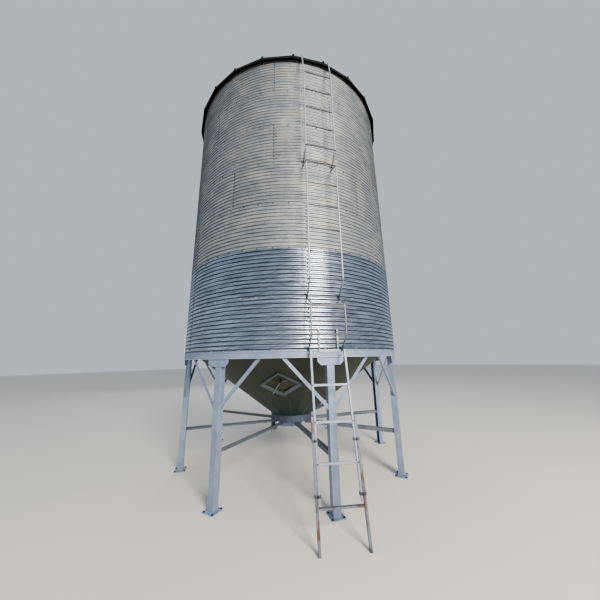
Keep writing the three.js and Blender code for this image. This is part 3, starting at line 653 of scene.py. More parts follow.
def roof_sheet(name, tint, roughness):
    """Pressed galvanised roof panels, dull grey with clouded zinc and dirt. The spangle is drawn 50 mm
    wide, so that it shows."""
    material, node, place = new_material(name)
    cloud = blotches(node, place, 0.25, 8)
    tone = node("ValToRGB", cloud, tint=tint, stops=[(0.3, 0.82), (0.5, 1), (0.7, 1.15)])
    spangle = node("ValToRGB", blotches(node, place, 0.05, crystals=True), stops=[(0, 0.75), (1, 1)])
    tone = layered(node, tone, (0.5, spangle), how="MULTIPLY")
    return finished(material, node, tone, 0.7, roughness, cloud, 0.003, 0.4)


def ladder_steel(name, ladder, pale, rust_from, metallic):
    """Galvanised ladder steel, chalky where it is worn and rusted in patches: pale and almost matt, with
    brown patches, and darkened as painted shade where a mark on the mesh says so, at the rails' lower
    bends. The patches are 90 mm wide and 200 mm tall, and the chalky clouds 60 mm wide, both coarser
    than real ones, so that they show."""
    material, node, place = new_material(name)
    cloud = blotches(node, place, 0.06, 5)
    tone = node("ValToRGB", cloud, tint=pale, stops=[(0.35, 0.78), (0.65, 1)])
    # The dulled mark lays painted shade on the rails' lower bends.
    dulled = node("Attribute", attribute_name="dulled", output="Fac")
    spots = blotches(node, place, 0.09, 8, (1, 1, 2.2))
    rusty = node("ValToRGB", spots, stops=[(rust_from, 0), (rust_from + 0.08, 0.9)])
    tone = layered(node, tone, (dulled, shade(ladder.shade)), (rusty, shade(ladder.rust)))
    gloss = node("Math", cloud, 0.3, 0.35, operation="MULTIPLY_ADD")
    return finished(material, node, tone, metallic, gloss, spots, 0.0008, 0.6)


def pale_floor(tint):
    """Smooth pale floor paint, matt, with faint clouds 1.5 m wide."""
    material, node, place = new_material("pale floor")
    tone = node("ValToRGB", blotches(node, place, 1.5, 3), tint=tint, stops=[(0.3, 0.97), (0.7, 1)])
    return finished(material, node, tone, 0.0, 0.85)


FINISHES = {}


def finish_of(name):
    """A finish by name, made the first time that it is asked for."""
    if name not in FINISHES:
        wall, ladder, roof, steelwork, hopper = settings("wall", "ladder", "roof", "steelwork", "hopper")
        maker, title, *values = {
            "new sheet": (galvanised_sheet, "new galvanised sheet", wall, False),
            "old sheet": (galvanised_sheet, "aged galvanised sheet", wall, True),
            "bolt": (bolt_zinc, "dulled zinc bolts", "#15181c", "#3a3f45"),
            "bright bolt": (bolt_zinc, "bright zinc bolts", "#747b82", "#b4b8bb"),
            "seal": (perished_rubber, "perished rubber seal", "#0d0c09", "#211f18"),
            "coat": (coated_steel, "coated structural steel", steelwork, 1.0),
            # Painted shade: these coats are darkened under the hopper, on the collar, gate and struts; the
            # struts also carry dust.
            "dusty coat": (coated_steel, "dusty coated steel", steelwork, 0.36),
            "strut coat": (coated_steel, "dust-covered coated steel", steelwork, 0.62, 0.4),
            "plate": (hopper_plate, "dull hopper plate", hopper.plate),
            "hatch steel": (hopper_plate, "pale hatch steel", hopper.hatch_steel),
            "weld": (hopper_plate, "dull weld beads", shade(hopper.plate, 1.55)),
            # Painted highlight: the lower halves of a few weld beads.
            "bright weld": (hopper_plate, "bright weld beads", shade(hopper.plate, 3.2)),
            "door": (hopper_plate, "olive door plate", hopper.door),
            "roof": (roof_sheet, "dull galvanised roof sheet", roof.zinc, 0.5),
            # Painted shade on the eave's rim and underside.
            "eave": (roof_sheet, "grimy sheet at the eave", roof.grime, 0.6),
            "ladder": (ladder_steel, "galvanised ladder steel", ladder, ladder.zinc, 0.66, 0.6),
            # Painted shade: the low length's rails and all rungs take darker copies of the ladder's zinc.
            "dull ladder": (ladder_steel, "dull ladder steel", ladder, shade(ladder.zinc, 0.6), 0.66, 0.6),
            "rung": (ladder_steel, "dull rung steel", ladder, ladder.shade, 0.66, 0.75),
            "chalky": (ladder_steel, "chalky ladder steel", ladder, ladder.chalk, 0.64, 0.3),
            "worn": (ladder_steel, "chalky rusty steel", ladder, shade(ladder.chalk, 0.6), 0.50, 0.25),
        }[name]
        FINISHES[name] = maker(title, *values)
    return FINISHES[name]


# Wall

class SILO_OT_wall(bpy.types.Operator):
    """Makes the seven corrugated rings with their laps and bolts"""

    bl_idname = "silo.wall"
    bl_label = "Corrugated wall"

    def execute(self, context):
        [wall] = settings("wall")
        for index in range(wall.rings):
            self.ring(wall, index)
        return {"FINISHED"}

    def ring(self, wall, index):
        """A ring's radius is the wall's plus half the depth times the cosine of its place in the
        corrugation, plus a lap that grows along each sheet to one sheet's thickness, plus slow ripples
        that fade in over 60 mm from the seams. The inside is the same surface 1.5 mm in."""
        low = wall.base + index * wall.ring_height
        pitch = wall.ring_height / wall.corrugations
        middle = wall.radius - wall.sheet / 2
        columns, rows = 40, wall.corrugations * 8 + 1  # points along a sheet and up it
        share = np.linspace(0, 1, columns)
        share[-1] = 0.9996  # just short of the next sheet
        sheets = np.arange(SHEETS_PER_RING)
        sheet_angle = 360 / SHEETS_PER_RING
        first = SEAM_BEARINGS[index % len(SEAM_BEARINGS)]
        bearing = (first + sheet_angle * (sheets[:, None] + share)).ravel()

        def wave(rise):
            return wall.depth / 2 * np.cos(2 * math.pi * (rise / pitch - wall.crest))

        rise = np.linspace(0, wall.ring_height, rows)[:, None]
        fade = np.clip(np.minimum(rise, wall.ring_height - rise) / 0.06, 0, 1)
        lap = np.tile(share, SHEETS_PER_RING) * wall.sheet
        radius = middle + wave(rise) + lap + fade * ripple(bearing, low + rise, 0.0011, index + 3)
        outer = spot(bearing, radius, low + rise)
        inner = spot(bearing, radius[::2] - 0.0015, low + rise[::2])
        body = carried(np.concatenate([outer, inner[::-1]]).swapaxes(0, 1), closed=True)

        proud, head = 0.0012, 0.009
        lift = 0.010 if index == 0 else 0.0
        around = math.degrees(wall.first_bolt) + 360 / wall.bolts * np.arange(wall.bolts)
        seam_places = spot(around, middle + wave(lift) + proud, low + lift)
        levels = low + pitch * np.arange(1, wall.corrugations)[:, None]
        lap_places = spot(bearing[0] + 0.55 + sheet_angle * sheets, middle - wall.depth / 2 + proud, levels)
        lap_places = lap_places.reshape(-1, 3)
        seam_heads = bolts(seam_places, seam_places * [1, 1, 0], head, index)
        lap_heads = bolts(lap_places, lap_places * [1, 1, 0], head, index + 30)

        tones = np.random.default_rng(40 + index).random(SHEETS_PER_RING)
        section = rows + len(inner)
        marks = {"sheet_tone": np.repeat(np.repeat(tones, columns), section),
                 "along": np.repeat(np.radians(bearing) * wall.radius, section)}
        spare = np.zeros(len(seam_heads[0]) + len(lap_heads[0]))
        if index < NEW_RINGS:
            sheet, seam_bolt, slot = "new sheet", "bright bolt", "new_galvanised_sheet"
        else:
            sheet, seam_bolt, slot = "old sheet", "bolt", "aged_galvanised_sheet"
        coats = [(sheet, body), (seam_bolt, seam_heads), ("bolt", lap_heads)]
        put_mesh(f"corrugated_ring_{index + 1}", coats, [f"wall_ring_{index + 1}"],
                 attributes={key: np.concatenate([values, spare]) for key, values in marks.items()})


# Hopper

def hopper_height(radius):
    """Height of the cone's outer surface at a distance from the axis: a straight line at the slope, from
    the height where it would meet the wall's middle."""
    wall, hopper = settings("wall", "hopper")
    return wall.base + hopper.rise - (wall.radius - radius) * math.tan(hopper.slope)


def on_hatch(points):
    """Points in the hatch's own axes (x along its hinge side, y towards that side, z out of the hopper)
    taken to their place on the cone."""
    [hopper] = settings("hopper")
    up_slope = np.array([0, -math.cos(hopper.slope), math.sin(hopper.slope)])
    across = np.array([1.0, 0, 0])
    axes = np.stack([unit(across - up_slope), unit(across + up_slope), np.cross(across, up_slope)])
    return points @ axes + spot(0, hopper.hatch_radius, hopper_height(hopper.hatch_radius))


class SILO_OT_hopper(bpy.types.Operator):
    """Makes the hopper's cone with the hatch's opening in it, and its weld beads"""

    bl_idname = "silo.hopper"
    bl_label = "Hopper cone"

    def execute(self, context):
        wall, hopper, steelwork = settings("wall", "hopper", "steelwork")
        sheets = steelwork.legs
        bottom = wall.radius - (wall.base + hopper.rise - hopper.bottom) / math.tan(hopper.slope)
        top = wall.radius - 0.0075
        half = 180 / sheets
        rise = hopper.sheet / math.cos(hopper.slope)
        radius = np.linspace(bottom, top, 25)
        radius = np.concatenate([radius, radius[::-1]])
        lift = np.repeat([0, rise], 25)
        bearing = np.linspace(half, 360 - half, 211)[:, None]
        height = hopper_height(radius) + lift + ripple(bearing, radius, 0.0010, 21)
        around = carried(spot(bearing, radius[None], height))
        front = self.front_sheet(hopper, bottom, top, half, rise)
        dull, bright = self.weld_beads(wall, hopper)
        put_mesh("hopper_cone", [("plate", around, front), ("weld", *dull), ("bright weld", *bright)],
                 [f"hopper_sheet_{index + 1}" for index in range(sheets)])
        return {"FINISHED"}

    def weld_beads(self, wall, hopper):
        """A weld bead down the cone at every step, from the ring beam to the collar. A few of them are
        painted bright on their lower half, a painted highlight. A bead is left out under the hatch's frame:
        unrolled flat, the frame is where the distances along and across the slope from the hatch's middle
        add up to less than the frame's half diagonal."""
        section = [[-0.006, -0.003], [0.006, -0.003], [0.004, 0.0012], [0.0, 0.0024], [-0.004, 0.0012]]
        flatten = math.cos(hopper.slope)
        high = wall.radius - (hopper.rise + 0.004) / math.tan(hopper.slope)
        radius = np.linspace(high, hopper.collar_radius + 0.006, 90)
        shine_from = 52  # of the 90 points down a bead
        half_round = 180 // WELD_STEP
        dull, bright = [], []
        for index in range(-half_round, half_round):
            bearing = FIRST_WELD + WELD_STEP * index
            if index % half_round in HIGHLIT_WELDS:
                runs = [(dull, radius[:shine_from]), (bright, radius[shine_from - 1:])]
            else:
                turn = math.radians(bearing) * flatten
                along = np.abs(radius * math.cos(turn) - hopper.hatch_radius)
                across = along + np.abs(radius * math.sin(turn))
                clear = across > (hopper.hatch_outer / math.sqrt(2) + 0.004) * flatten
                runs = [(dull, run) for run in np.split(radius, np.flatnonzero(np.diff(clear)) + 1)[::2]]
            for beads, run in runs:
                path = spot(bearing, run[[0, -1]], hopper_height(run[[0, -1]]))
                beads.append(along_path(section, path, spot(bearing + 90, 1.0, 0.0)))
        return dull, bright

    def front_sheet(self, hopper, bottom, top, half, rise):
        """The sheet round the hatch, in the cone unrolled flat: rays from the hatch's middle run from
        its square opening to the sheet's edge, and are then rolled back on to the cone. Unrolled, a
        distance from the tip is the radius over the slope's cosine, and an angle is the bearing times
        it."""
        flatten = math.cos(hopper.slope)
        middle = np.array([0.0, -hopper.hatch_radius / flatten])
        side = np.radians(half) * flatten
        turn = side * np.linspace(-1, 1, 41)
        far, near = top / flatten, bottom / flatten
        edge = np.linspace(far, near, 31)[1:-1, None]
        rim = np.concatenate([far * np.column_stack([np.sin(turn), -np.cos(turn)]),
                              edge * [math.sin(side), -math.cos(side)],
                              near * np.column_stack([np.sin(-turn), -np.cos(turn)]),
                              edge[::-1] * [-math.sin(side), -math.cos(side)]])
        ray = rim - middle
        opening = (hopper.hatch_inner + hopper.hatch_outer) / 4
        reach = opening * math.sqrt(2) / np.abs(ray).sum(axis=1)
        inside = middle + ray * reach[:, None]
        share = np.linspace(0, 1, 17)[None, :, None]
        flat = inside[:, None] * (1 - share) + rim[:, None] * share
        bearing = np.degrees(np.arctan2(flat[..., 0], -flat[..., 1]) / flatten)
        radius = np.hypot(flat[..., 0], flat[..., 1]) * flatten
        outer = spot(bearing, radius, hopper_height(radius))
        inner = spot(bearing, radius, hopper_height(radius) + rise)
        return carried(np.concatenate([outer, inner[:, ::-1]], axis=1), closed=True)


def square_ring(outer, inner, low, high, slope=None):
    """A square frame: a section carried round a square path. It has four corners, or with a slope (the
    width that stays flat and the height that it falls to inside) five."""
    section = [[outer, low], [outer, high], [inner, high], [inner, low]]
    if slope:
        section[2:3] = [[outer - 2 * slope[0], high], [inner, slope[1]]]
    section = np.array(section)
    corners = np.array([[-1, -1], [1, -1], [1, 1], [-1, 1]])
    loops = np.concatenate([corners[:, None] * section[None, :, :1] / 2,
                            np.broadcast_to(section[None, :, 1:], (4, len(section), 1))], axis=-1)
    return carried(loops, closed=True)


class SILO_OT_hatch(bpy.types.Operator):
    """Makes the hatch's frame, its creased door on a hinge and the bar that holds it"""

    bl_idname = "silo.hatch"
    bl_label = "Hatch"

    def execute(self, context):
        [hopper] = settings("hopper")
        self.frame(hopper)
        self.leaf(hopper.hatch_inner / 2)
        self.clamp_bar(hopper.hatch_proud)
        return {"FINISHED"}

    def frame(self, hopper):
        """A square frame that stands out of the cone and slopes down to the door, with a small latch on
        one side."""
        inner, outer, proud = hopper.hatch_inner, hopper.hatch_outer, hopper.hatch_proud
        middle = (inner + outer) / 4
        ring = square_ring(outer, inner, -0.050, proud, (0.014, -0.002))
        latch = block((middle - 0.012, middle + 0.012), (-0.245, -0.215), (0.005, proud + 0.014))
        put_mesh("hatch_surround", [("hatch steel", ring, latch)], ["hatch_frame"],
                 edge=0.003, moved=on_hatch)

    def leaf(self, half):
        """The door on its hinge pin, with three knuckles, and a torn rubber seal that hangs out along
        one side."""
        y, z = half - 0.012, DOOR_FACE + 0.004
        knuckles = [(x - 0.03, x + 0.03, 0.0085) for x in (-0.14, 0, 0.14)]
        bars = ((-half - 0.010, half + 0.010, 0.006), *knuckles)
        hinge = [round_bar([[x0, y, z], [x1, y, z]], radius, (0, 1, 0), 16) for x0, x1, radius in bars]
        torn = ([[0.172, -0.110], [0.182, -0.060], [0.184, 0.0], [0.186, 0.062]], 0.013, 0)
        flap = ([[0.170, -0.125], [0.180, -0.070]], 0.034, 0.0005)
        seal = [flat_bar([[*place, DOOR_FACE + lift] for place in path], width, 0.005, (1, 0, 0))
                for path, width, lift in (torn, flap)]
        put_mesh("hatch_leaf", [("door", self.panel(half - 0.005), *hinge), ("seal", *seal)],
                 ["hatch_door"], "hatch", moved=on_hatch)

    def panel(self, half):
        """The door: a square sheet pressed into four shallow flats that meet along its diagonals. It
        rises 6 mm to its middle as the larger of the two distances from there falls, and its rim is
        turned down by 4 mm."""
        steps = np.linspace(-half, half, 21)
        x, y = np.meshgrid(steps, steps, indexing="ij")
        spread = np.maximum(np.abs(x), np.abs(y)) / half
        rise = 0.006 * (1 - spread) - 0.004 * np.clip((spread - 0.94) / 0.06, 0, 1)
        outer = np.stack([x, y, DOOR_FACE - 0.003 + rise], -1)
        inner = outer - [0, 0, 0.004]
        return carried(np.concatenate([outer, inner[:, ::-1]], axis=1))

    def clamp_bar(self, proud):
        """A flat bar over the frame's rim, pivoted on a bolt through the door, and a bent strap under it
        whose two halves rise to the pivot as a quarter of a sine. The bar's lower length is painted bright
        as a painted highlight, and its upper length and the strap's left half are painted dark as painted
        shade."""
        low, high = proud + 0.005, proud + 0.017
        middle = (low + high) / 2
        pivot, tip, head = np.array([-0.082, 0.110]), [0.0513, -0.310], [-0.0955, 0.153]
        stems = [flat_bar([[*start, middle], [*end, middle]], 0.016, high - low, (1, 0.3, 0))
                 for start, end in ((head, pivot), (pivot, tip))]
        share = np.linspace(0, 1, 7)[:, None]
        lift = (low - 0.008) * np.sin(math.pi / 2 * share)
        left, right = [flat_bar(np.hstack([np.array(end) * (1 - share) + pivot * share, lift]), 0.020, 0.006,
                                (0.6, -0.8, 0)) for end in ((-0.195, 0.026), (0.010, 0.179))]
        post = slab(pivot + circle(0.012, 16), DOOR_FACE + 0.001, high - 0.001)
        nut = bolts([[*pivot, high - 0.001]], (0, 0, 1), 0.011, 5)
        # Painted light: the lower stem in bright zinc is a painted highlight; the upper stem and the strap's
        # left half in dark zinc are painted shade.
        put_mesh("hatch_clamp_bar", [("bright bolt", stems[1]), ("hatch steel", right),
                                     ("bolt", stems[0], left, post, nut)],
                 ["hatch_bar"], "hatch", edge=0.0015, moved=on_hatch)


class SILO_OT_discharge(bpy.types.Operator):
    """Makes the collar under the cone, the square spout and its slide gate"""

    bl_idname = "silo.discharge"
    bl_label = "Collar, spout and gate"

    def execute(self, context):
        [hopper] = settings("hopper")
        self.collar(hopper.collar_radius, hopper.collar_bottom, hopper.collar_mouth)
        self.spout(hopper.spout, hopper.spout_skirt, hopper.spout_bottom, hopper.collar_bottom - GAP)
        self.gate(hopper.spout_bottom - 0.016 + GAP)
        return {"FINISHED"}

    def collar(self, radius, bottom, mouth):
        """A turned ring with a lip at its foot, a flat bottom and a ring of bolts in it."""
        inside, floor, top = radius - 0.008, bottom + 0.008, hopper_height(radius - 0.008) - GAP
        lip = [[mouth, bottom], [radius - 0.002, bottom], [radius, bottom + 0.002], [radius, bottom + 0.012],
               [radius - 0.0015, bottom + 0.014], [radius - 0.0015, top - 0.002], [radius - 0.003, top],
               [inside, top], [inside, floor], [mouth, floor]]
        heads = bolts(spot(np.arange(16) * 22.5 + 11, radius - 0.03, bottom), (0, 0, -1), 0.009, 7)
        put_mesh("cone_collar", [("dusty coat", turned(lip, 96)), ("bolt", heads)], ["hopper_collar"])

    def spout(self, size, skirt, low, high):
        """The square spout under its bolted flange, the shelf at its foot, the skirt round three sides
        of the gate, and the two channels that the gate slides in."""
        half, plate = size / 2, 0.006
        inner = size - 2 * plate
        slot, slot_end = (low - 0.022, low + 0.001), (-0.2, 0.2)
        parts = [square_ring(size + 0.010, inner, high - 0.008, high), square_ring(size, inner, low, high),
                 square_ring(size - 0.010, 0.328, low, low + 0.008),
                 block((-half, half), (-half, plate - half), (skirt, slot[1]))]
        for side in (-1, 1):
            parts += [block(sorted((side * half, side * (half - plate))), (-half, half), (skirt, slot[1])),
                      block(sorted((side * 0.194, side * 0.200)), slot_end, slot),
                      block(sorted((side * 0.176, side * 0.200)), slot_end, (slot[0], slot[0] + plate))]
        row = bolts([[x, -half, high - 0.030] for x in (-0.14, 0, 0.14)], (0, -1, 0), 0.007, 8)
        heads = [(about_axis(row[0], bearing), row[1]) for bearing in (0, 90, 180, 270)]
        put_mesh("square_spout", [("coat", *parts), ("bolt", *heads)], ["discharge_spout"],
                 edge=0.0012)

    def gate(self, under):
        """A plate with a bent wire handle under its outer end."""
        high, low = under - 0.004, under - 0.048
        wire = [[-0.07, 0.258, high], [-0.07, 0.258, low], [0.07, 0.258, low], [0.07, 0.258, high]]
        put_mesh("gate_plate", [("dusty coat", block((-0.192, 0.192), (-0.2, 0.26), (under, under + 0.008)),
                                 round_bar(rounded(wire, 0.02), 0.0055, (0, 1, 0), 10))],
                 ["slide_gate"], edge=0.001)


# Steelwork

def put_round(name, coats, stands_for, edge):
    """Puts one piece at each leg, the same shapes turned to each leg's bearing."""
    [steelwork] = settings("steelwork")
    for index in range(steelwork.legs):
        bearing = math.degrees(steelwork.first_leg) + index * 360 / steelwork.legs
        put_mesh(f"{name}_{index + 1}", coats, [f"{stands_for}_{index + 1}"],
                 edge=edge, moved=partial(about_axis, bearing=bearing))


class SILO_OT_ring_beam(bpy.types.Operator):
    """Makes the ring beam with the strip at the wall's foot"""

    bl_idname = "silo.ring_beam"
    bl_label = "Ring beam"

    def execute(self, context):
        """Its section, turned about the axis: a shelf under the wall and a web with a lip at its foot that
        is painted bright as a highlight, and a strip round its top."""
        wall, hopper, steelwork = settings("wall", "hopper", "steelwork")
        top, radius, steps = wall.base, steelwork.beam_radius, 288
        seat = wall.radius - (hopper.rise - GAP) / math.tan(hopper.slope)
        low = top - steelwork.beam_height
        shelf = [[seat, top], [seat, top - 0.008], [radius - 0.008, top - 0.008],
                 [radius - 0.008, low + 0.001]]
        lip = [[radius - 0.007, low], [radius - 0.003, low], [radius, low + 0.003]]
        strip = [[0, 0.031], [-0.0035, 0.029], [-0.0035, 0.022], [0.0020, 0.020], [0.0025, 0.018],
                 [0.0025, 0.002], [0.0015, 0]]
        profile = [*shelf, *lip, [radius, low + 0.009], *[[radius + out, top - down] for out, down in strip]]
        # The lip's mark paints bare steel on it, a painted highlight.
        rubbed = np.zeros(len(profile))
        rubbed[len(shelf):len(shelf) + len(lip)] = 1
        put_mesh("rolled_ring_beam", [("coat", turned(profile, steps))], ["ring_beam"],
                 attributes={"rubbed": np.tile(rubbed, steps)})
        return {"FINISHED"}


class SILO_OT_legs(bpy.types.Operator):
    """Makes the eight legs, each with its foot, gusset, knee braces and welds"""

    bl_idname = "silo.legs"
    bl_label = "Legs and knee braces"

    def execute(self, context):
        """A leg that faces -y: its channel, foot, gusset and braces are outlines carried straight, its
        welds round beads along the joints."""
        wall, steelwork = settings("wall", "steelwork")
        half, face, plate = steelwork.leg_width / 2, steelwork.leg_face, steelwork.plate
        back = steelwork.leg_depth - face
        head, foot_top = wall.base - UNDER_BEAM, 0.012
        channel = slab([[-half, -face], [half, -face], [half, back], [half - plate, back],
                        [half - plate, plate - face], [plate - half, plate - face], [plate - half, back],
                        [-half, back]], foot_top / 2, head)
        middle = -face + steelwork.leg_depth / 2
        reach = steelwork.foot_size / 2
        foot = block((-reach, reach), (middle - reach, middle + reach), (0, foot_top))
        wide, corner = steelwork.gusset_width / 2, 0.055
        low = wall.base - steelwork.gusset_drop
        outline = np.array([[-wide, low + corner], [corner - wide, low], [wide - corner, low],
                            [wide, low + corner], [wide, head], [-wide, head]])
        gusset = upright(outline, -face + 0.0005, -face - 0.0075)
        brace = self.brace(wall, steelwork)
        mirrored = (brace[0] * [-1, 1, 1], brace[1])
        bead, up = 0.0045, (0, 0, 1)
        foot_line = [[-half, -face - 0.001, 0.013], [half, -face - 0.001, 0.013], [half + 0.001, back, 0.013]]
        welds = [round_bar(rounded(foot_line, 0.01), 0.005, up, 6),
                 round_bar([[half, -face, low - 0.001], [-half, -face, low - 0.001]], bead, up, 6)]
        for x in (-half, half):
            line = [[x, -face + 0.001, low + 0.006], [x, -face + 0.001, head - 0.004]]
            welds.append(round_bar(line, bead, (1, 0, 0), 6))
        anchors = [[x, middle + y, foot_top] for x in (-0.082, 0.082) for y in (-0.08, 0.08)]
        put_round("welded_leg", [("coat", channel, foot, gusset, brace, mirrored, *welds),
                                 ("bolt", bolts(anchors, up, 0.012, 9))], "leg", 0.0025)
        return {"FINISHED"}

    def brace(self, wall, steelwork):
        """A knee brace: an angle section, its second flange inward along the lower edge, carried along
        its run from the leg's side to under the ring beam."""
        half = steelwork.leg_width / 2
        start = np.array([half, 0.012 - steelwork.leg_face, wall.base - steelwork.brace_foot])
        web = (steelwork.beam_radius - 0.008) * math.cos(math.radians(2.5))
        far = 0.004 - math.sqrt(web ** 2 - steelwork.brace_reach ** 2)
        plan = np.array([steelwork.brace_reach - half, far - start[1], 0])
        run = unit(plan + [0, 0, plan[0] * BRACE_RISE])
        inward = np.cross([0, 0, 1], unit(plan))
        upper = np.cross(run, inward)
        w, flange, plate = steelwork.brace_width / 2, steelwork.brace_flange, steelwork.plate
        section = np.array([[0, -w], [flange, -w], [flange, plate - w], [plate, plate - w], [plate, w],
                            [0, w]])
        points = start + section[:, :1] * inward + section[:, 1:] * upper
        leg_side = ([half - 0.003, 0, 0], (1, 0, 0))
        shelf = ([0, 0, wall.base - UNDER_BEAM], (0, 0, 1))
        return between(points, run, leg_side, shelf)


class SILO_OT_struts(bpy.types.Operator):
    """Makes the eight tie struts from the legs to the collar"""

    bl_idname = "silo.struts"
    bl_label = "Tie struts"

    def execute(self, context):
        """A strut that runs along y: an angle section with its flange on top, under the collar's bottom,
        with two bolts up through the flange and two through its side at the leg."""
        steelwork, hopper = settings("steelwork", "hopper")
        top = hopper.collar_bottom - GAP
        half, plate = steelwork.strut_width / 2, steelwork.plate
        bottom = top - steelwork.strut_width
        end = steelwork.leg_face - plate - GAP
        section = np.array([[-half, bottom], [plate - half, bottom], [plate - half, top - plate],
                            [half, top - plate], [half, top], [-half, top]])
        strut = upright(section, -0.330, -end)
        heads = bolts([[0.012, y, top - plate] for y in (-0.375, -0.425)], (0, 0, -1), 0.010, 11)
        ends = bolts([[-half, 0.03 - end, bottom + lift] for lift in (0.017, 0.042)], (-1, 0, 0), 0.009, 12)
        put_round("angle_strut", [("strut coat", strut), ("bolt", heads, ends)], "tie_strut", 0.002)
        return {"FINISHED"}


# Roof

class SILO_OT_roof(bpy.types.Operator):
    """Makes the roof panels with their ribs and eave, the fill collar and its lid"""

    bl_idname = "silo.roof"
    bl_label = "Roof, collar and lid"

    def execute(self, context):
        wall, roof = settings("wall", "roof")
        steep = math.tan(roof.pitch)
        wall_top = wall.base + wall.rings * wall.ring_height
        apex = wall_top + GAP + (wall.radius + 0.007) / math.cos(math.pi / roof.sides) * steep
        thick = roof.sheet / math.cos(roof.pitch)

        def under(radius):
            return apex - radius * steep

        def over(radius):
            return under(radius) + thick

        collar_top = over(roof.mouth) + 0.110  # the neck's height
        self.panels(roof, under, over)
        self.collar(roof, under, over, collar_top)
        self.lid(roof.mouth + 0.004, collar_top + GAP)
        return {"FINISHED"}

    def panels(self, roof, under, over):
        """Flat panels between ribs: across a panel a point lies on the straight line between the two
        ribs' bearings, and down it its height falls with its distance at the pitch. Ribs stand on both
        ends of each line."""
        step = 360 / roof.sides
        ribs = np.arange(roof.sides) * step + math.degrees(roof.turn)
        edge, mouth, foot, rib_end = roof.radius, roof.mouth, roof.eave, (0.399, 0.402)
        top = np.array([mouth, 0.395, *rib_end, 0.7, 1.2, 1.7, 2.1, 2.34, edge])
        low = np.array([edge - 0.0055, 2.30, 1.8, 1.2, 0.7, mouth])
        radius = np.array([*top, edge, edge, edge - 0.0025, edge - 0.005, edge - 0.0055, *low])
        eave = [over(edge) - 0.004, foot + 0.003, foot, foot, foot + 0.003]
        height = np.array([*over(top), *eave, *under(low)])
        rib = np.interp(radius, [*rib_end, edge], [0, 0.5, 1]) * roof.rib_height
        rib[len(top):] = 0
        reach = np.array([0, 0.010, 0.0185, roof.rib_width / 2])
        crown = np.array([1, 1, 0.92, 0, 0, 0, 0, 0, 0.92, 1])
        near = reach / (2 * radius * math.sin(math.pi / roof.sides))[:, None]
        middle = np.broadcast_to([0.3, 0.5, 0.7], (len(radius), 3))
        share = np.concatenate([near, middle, 1 - near[:, :0:-1]], axis=1)[None, ..., None]
        start, end = [spot(bearing, 1, 0)[:, None, None] for bearing in (ribs, ribs + step)]
        points = (start * (1 - share) + end * share) * radius[None, :, None, None]
        points[..., 2] = height[None, :, None] + rib[None, :, None] * crown
        points, (quads,) = carried(points.transpose(0, 2, 1, 3).reshape(-1, len(radius), 3), closed=True)
        places = [spot(ribs + side * math.degrees(0.036 / along), along * 0.999, over(along))
                  for along in (2.33, 1.9, 1.3, 0.8) for side in (-1, 1)]
        heads = bolts(np.concatenate(places), (0, 0, 1), 0.0075, 13)

        piece = put_mesh("ribbed_roof", [("roof", (points, [quads])), ("bolt", heads)], ["roof_panels"],
                         smooth=30)
        # Painted shade: the eave's rim and the panels' underside take the dark eave finish.
        piece.data.materials.append(finish_of("eave"))
        below = np.arange(len(quads)) % len(radius) >= len(top) - 1
        on_bolts = np.ones(len(piece.data.polygons) - len(quads), int)
        index = np.concatenate([np.where(below, 2, 0), on_bolts])
        piece.data.polygons.foreach_set("material_index", index.astype(np.int32))
        piece.data.update()

    def collar(self, roof, under, over, top):
        """A turned neck through the fill opening, with a bolted skirt that lies on the panels."""
        outer, skirt, lift = roof.mouth - GAP, 0.388, 0.0004
        inner = outer - 0.006
        foot = under(roof.mouth) - 0.010
        profile = [[inner, foot], [outer, foot], [outer, over(outer) + lift], [skirt, over(skirt) + lift],
                   [skirt, over(skirt) + 0.004], [outer + 0.004, over(outer) + 0.006],
                   [outer, over(outer) + 0.012], [outer, top - 0.002], [outer - 0.002, top], [inner, top]]
        heads = bolts(spot(np.arange(24) * 15 + 3, 0.374, over(0.374) + 0.004), (0, 0, 1), 0.006, 14)
        put_mesh("fill_collar", [("roof", turned(profile, 96)), ("bolt", heads)], ["roof_collar"])

    def lid(self, rim, seat):
        """A turned lid with a rolled edge over the neck, a bolt in its crown and a wire grip."""
        edge = rim + 0.006
        crown = [[edge, -0.030], [edge, 0.007], [edge - 0.003, 0.011], [0.25, 0.0285], [0.16, 0.047],
                 [0.06, 0.063], [0.004, 0.0685]]
        inside = [[0.004, 0.062], [0.16, 0.040], [0.30, 0.010], [rim, 0], [rim, -0.030]]
        wire = [[-0.05, -0.21, 0.030], [-0.05, -0.235, 0.060], [0.05, -0.235, 0.060], [0.05, -0.21, 0.030]]
        put_mesh("fill_lid", [("roof", turned(crown + inside, 96),
                               round_bar(rounded(wire, 0.02), 0.006, (0, -0.6, 0.8), 10)),
                              ("bolt", bolts([[0, 0, 0.0625]], (0, 0, 1), 0.006, 15))],
                 ["roof_lid"], moved=lambda points: points + [0, 0, seat])


# Ladders

def leaning(points):
    """Points in the leaning ladder's own axes (x across it, z up its rails, its head at the origin)
    taken to their place: leant about x, turned about z, then moved to the head's place."""
    wall, ladder = settings("wall", "ladder")
    lean = ladder.base_lean
    x, y, z = np.moveaxis(np.asarray(points, float), -1, 0)
    y, z = y * math.cos(lean) + z * math.sin(lean), z * math.cos(lean) - y * math.sin(lean)
    head = spot(math.degrees(ladder.base_bearing), ladder.base_reach, wall.base)
    return about_axis(np.stack([x, y, z], axis=-1), math.degrees(ladder.base_turn)) + head


def leant(shape):
    """A shape in the leaning ladder's own axes taken to its place."""
    points, faces = shape
    return leaning(points), faces


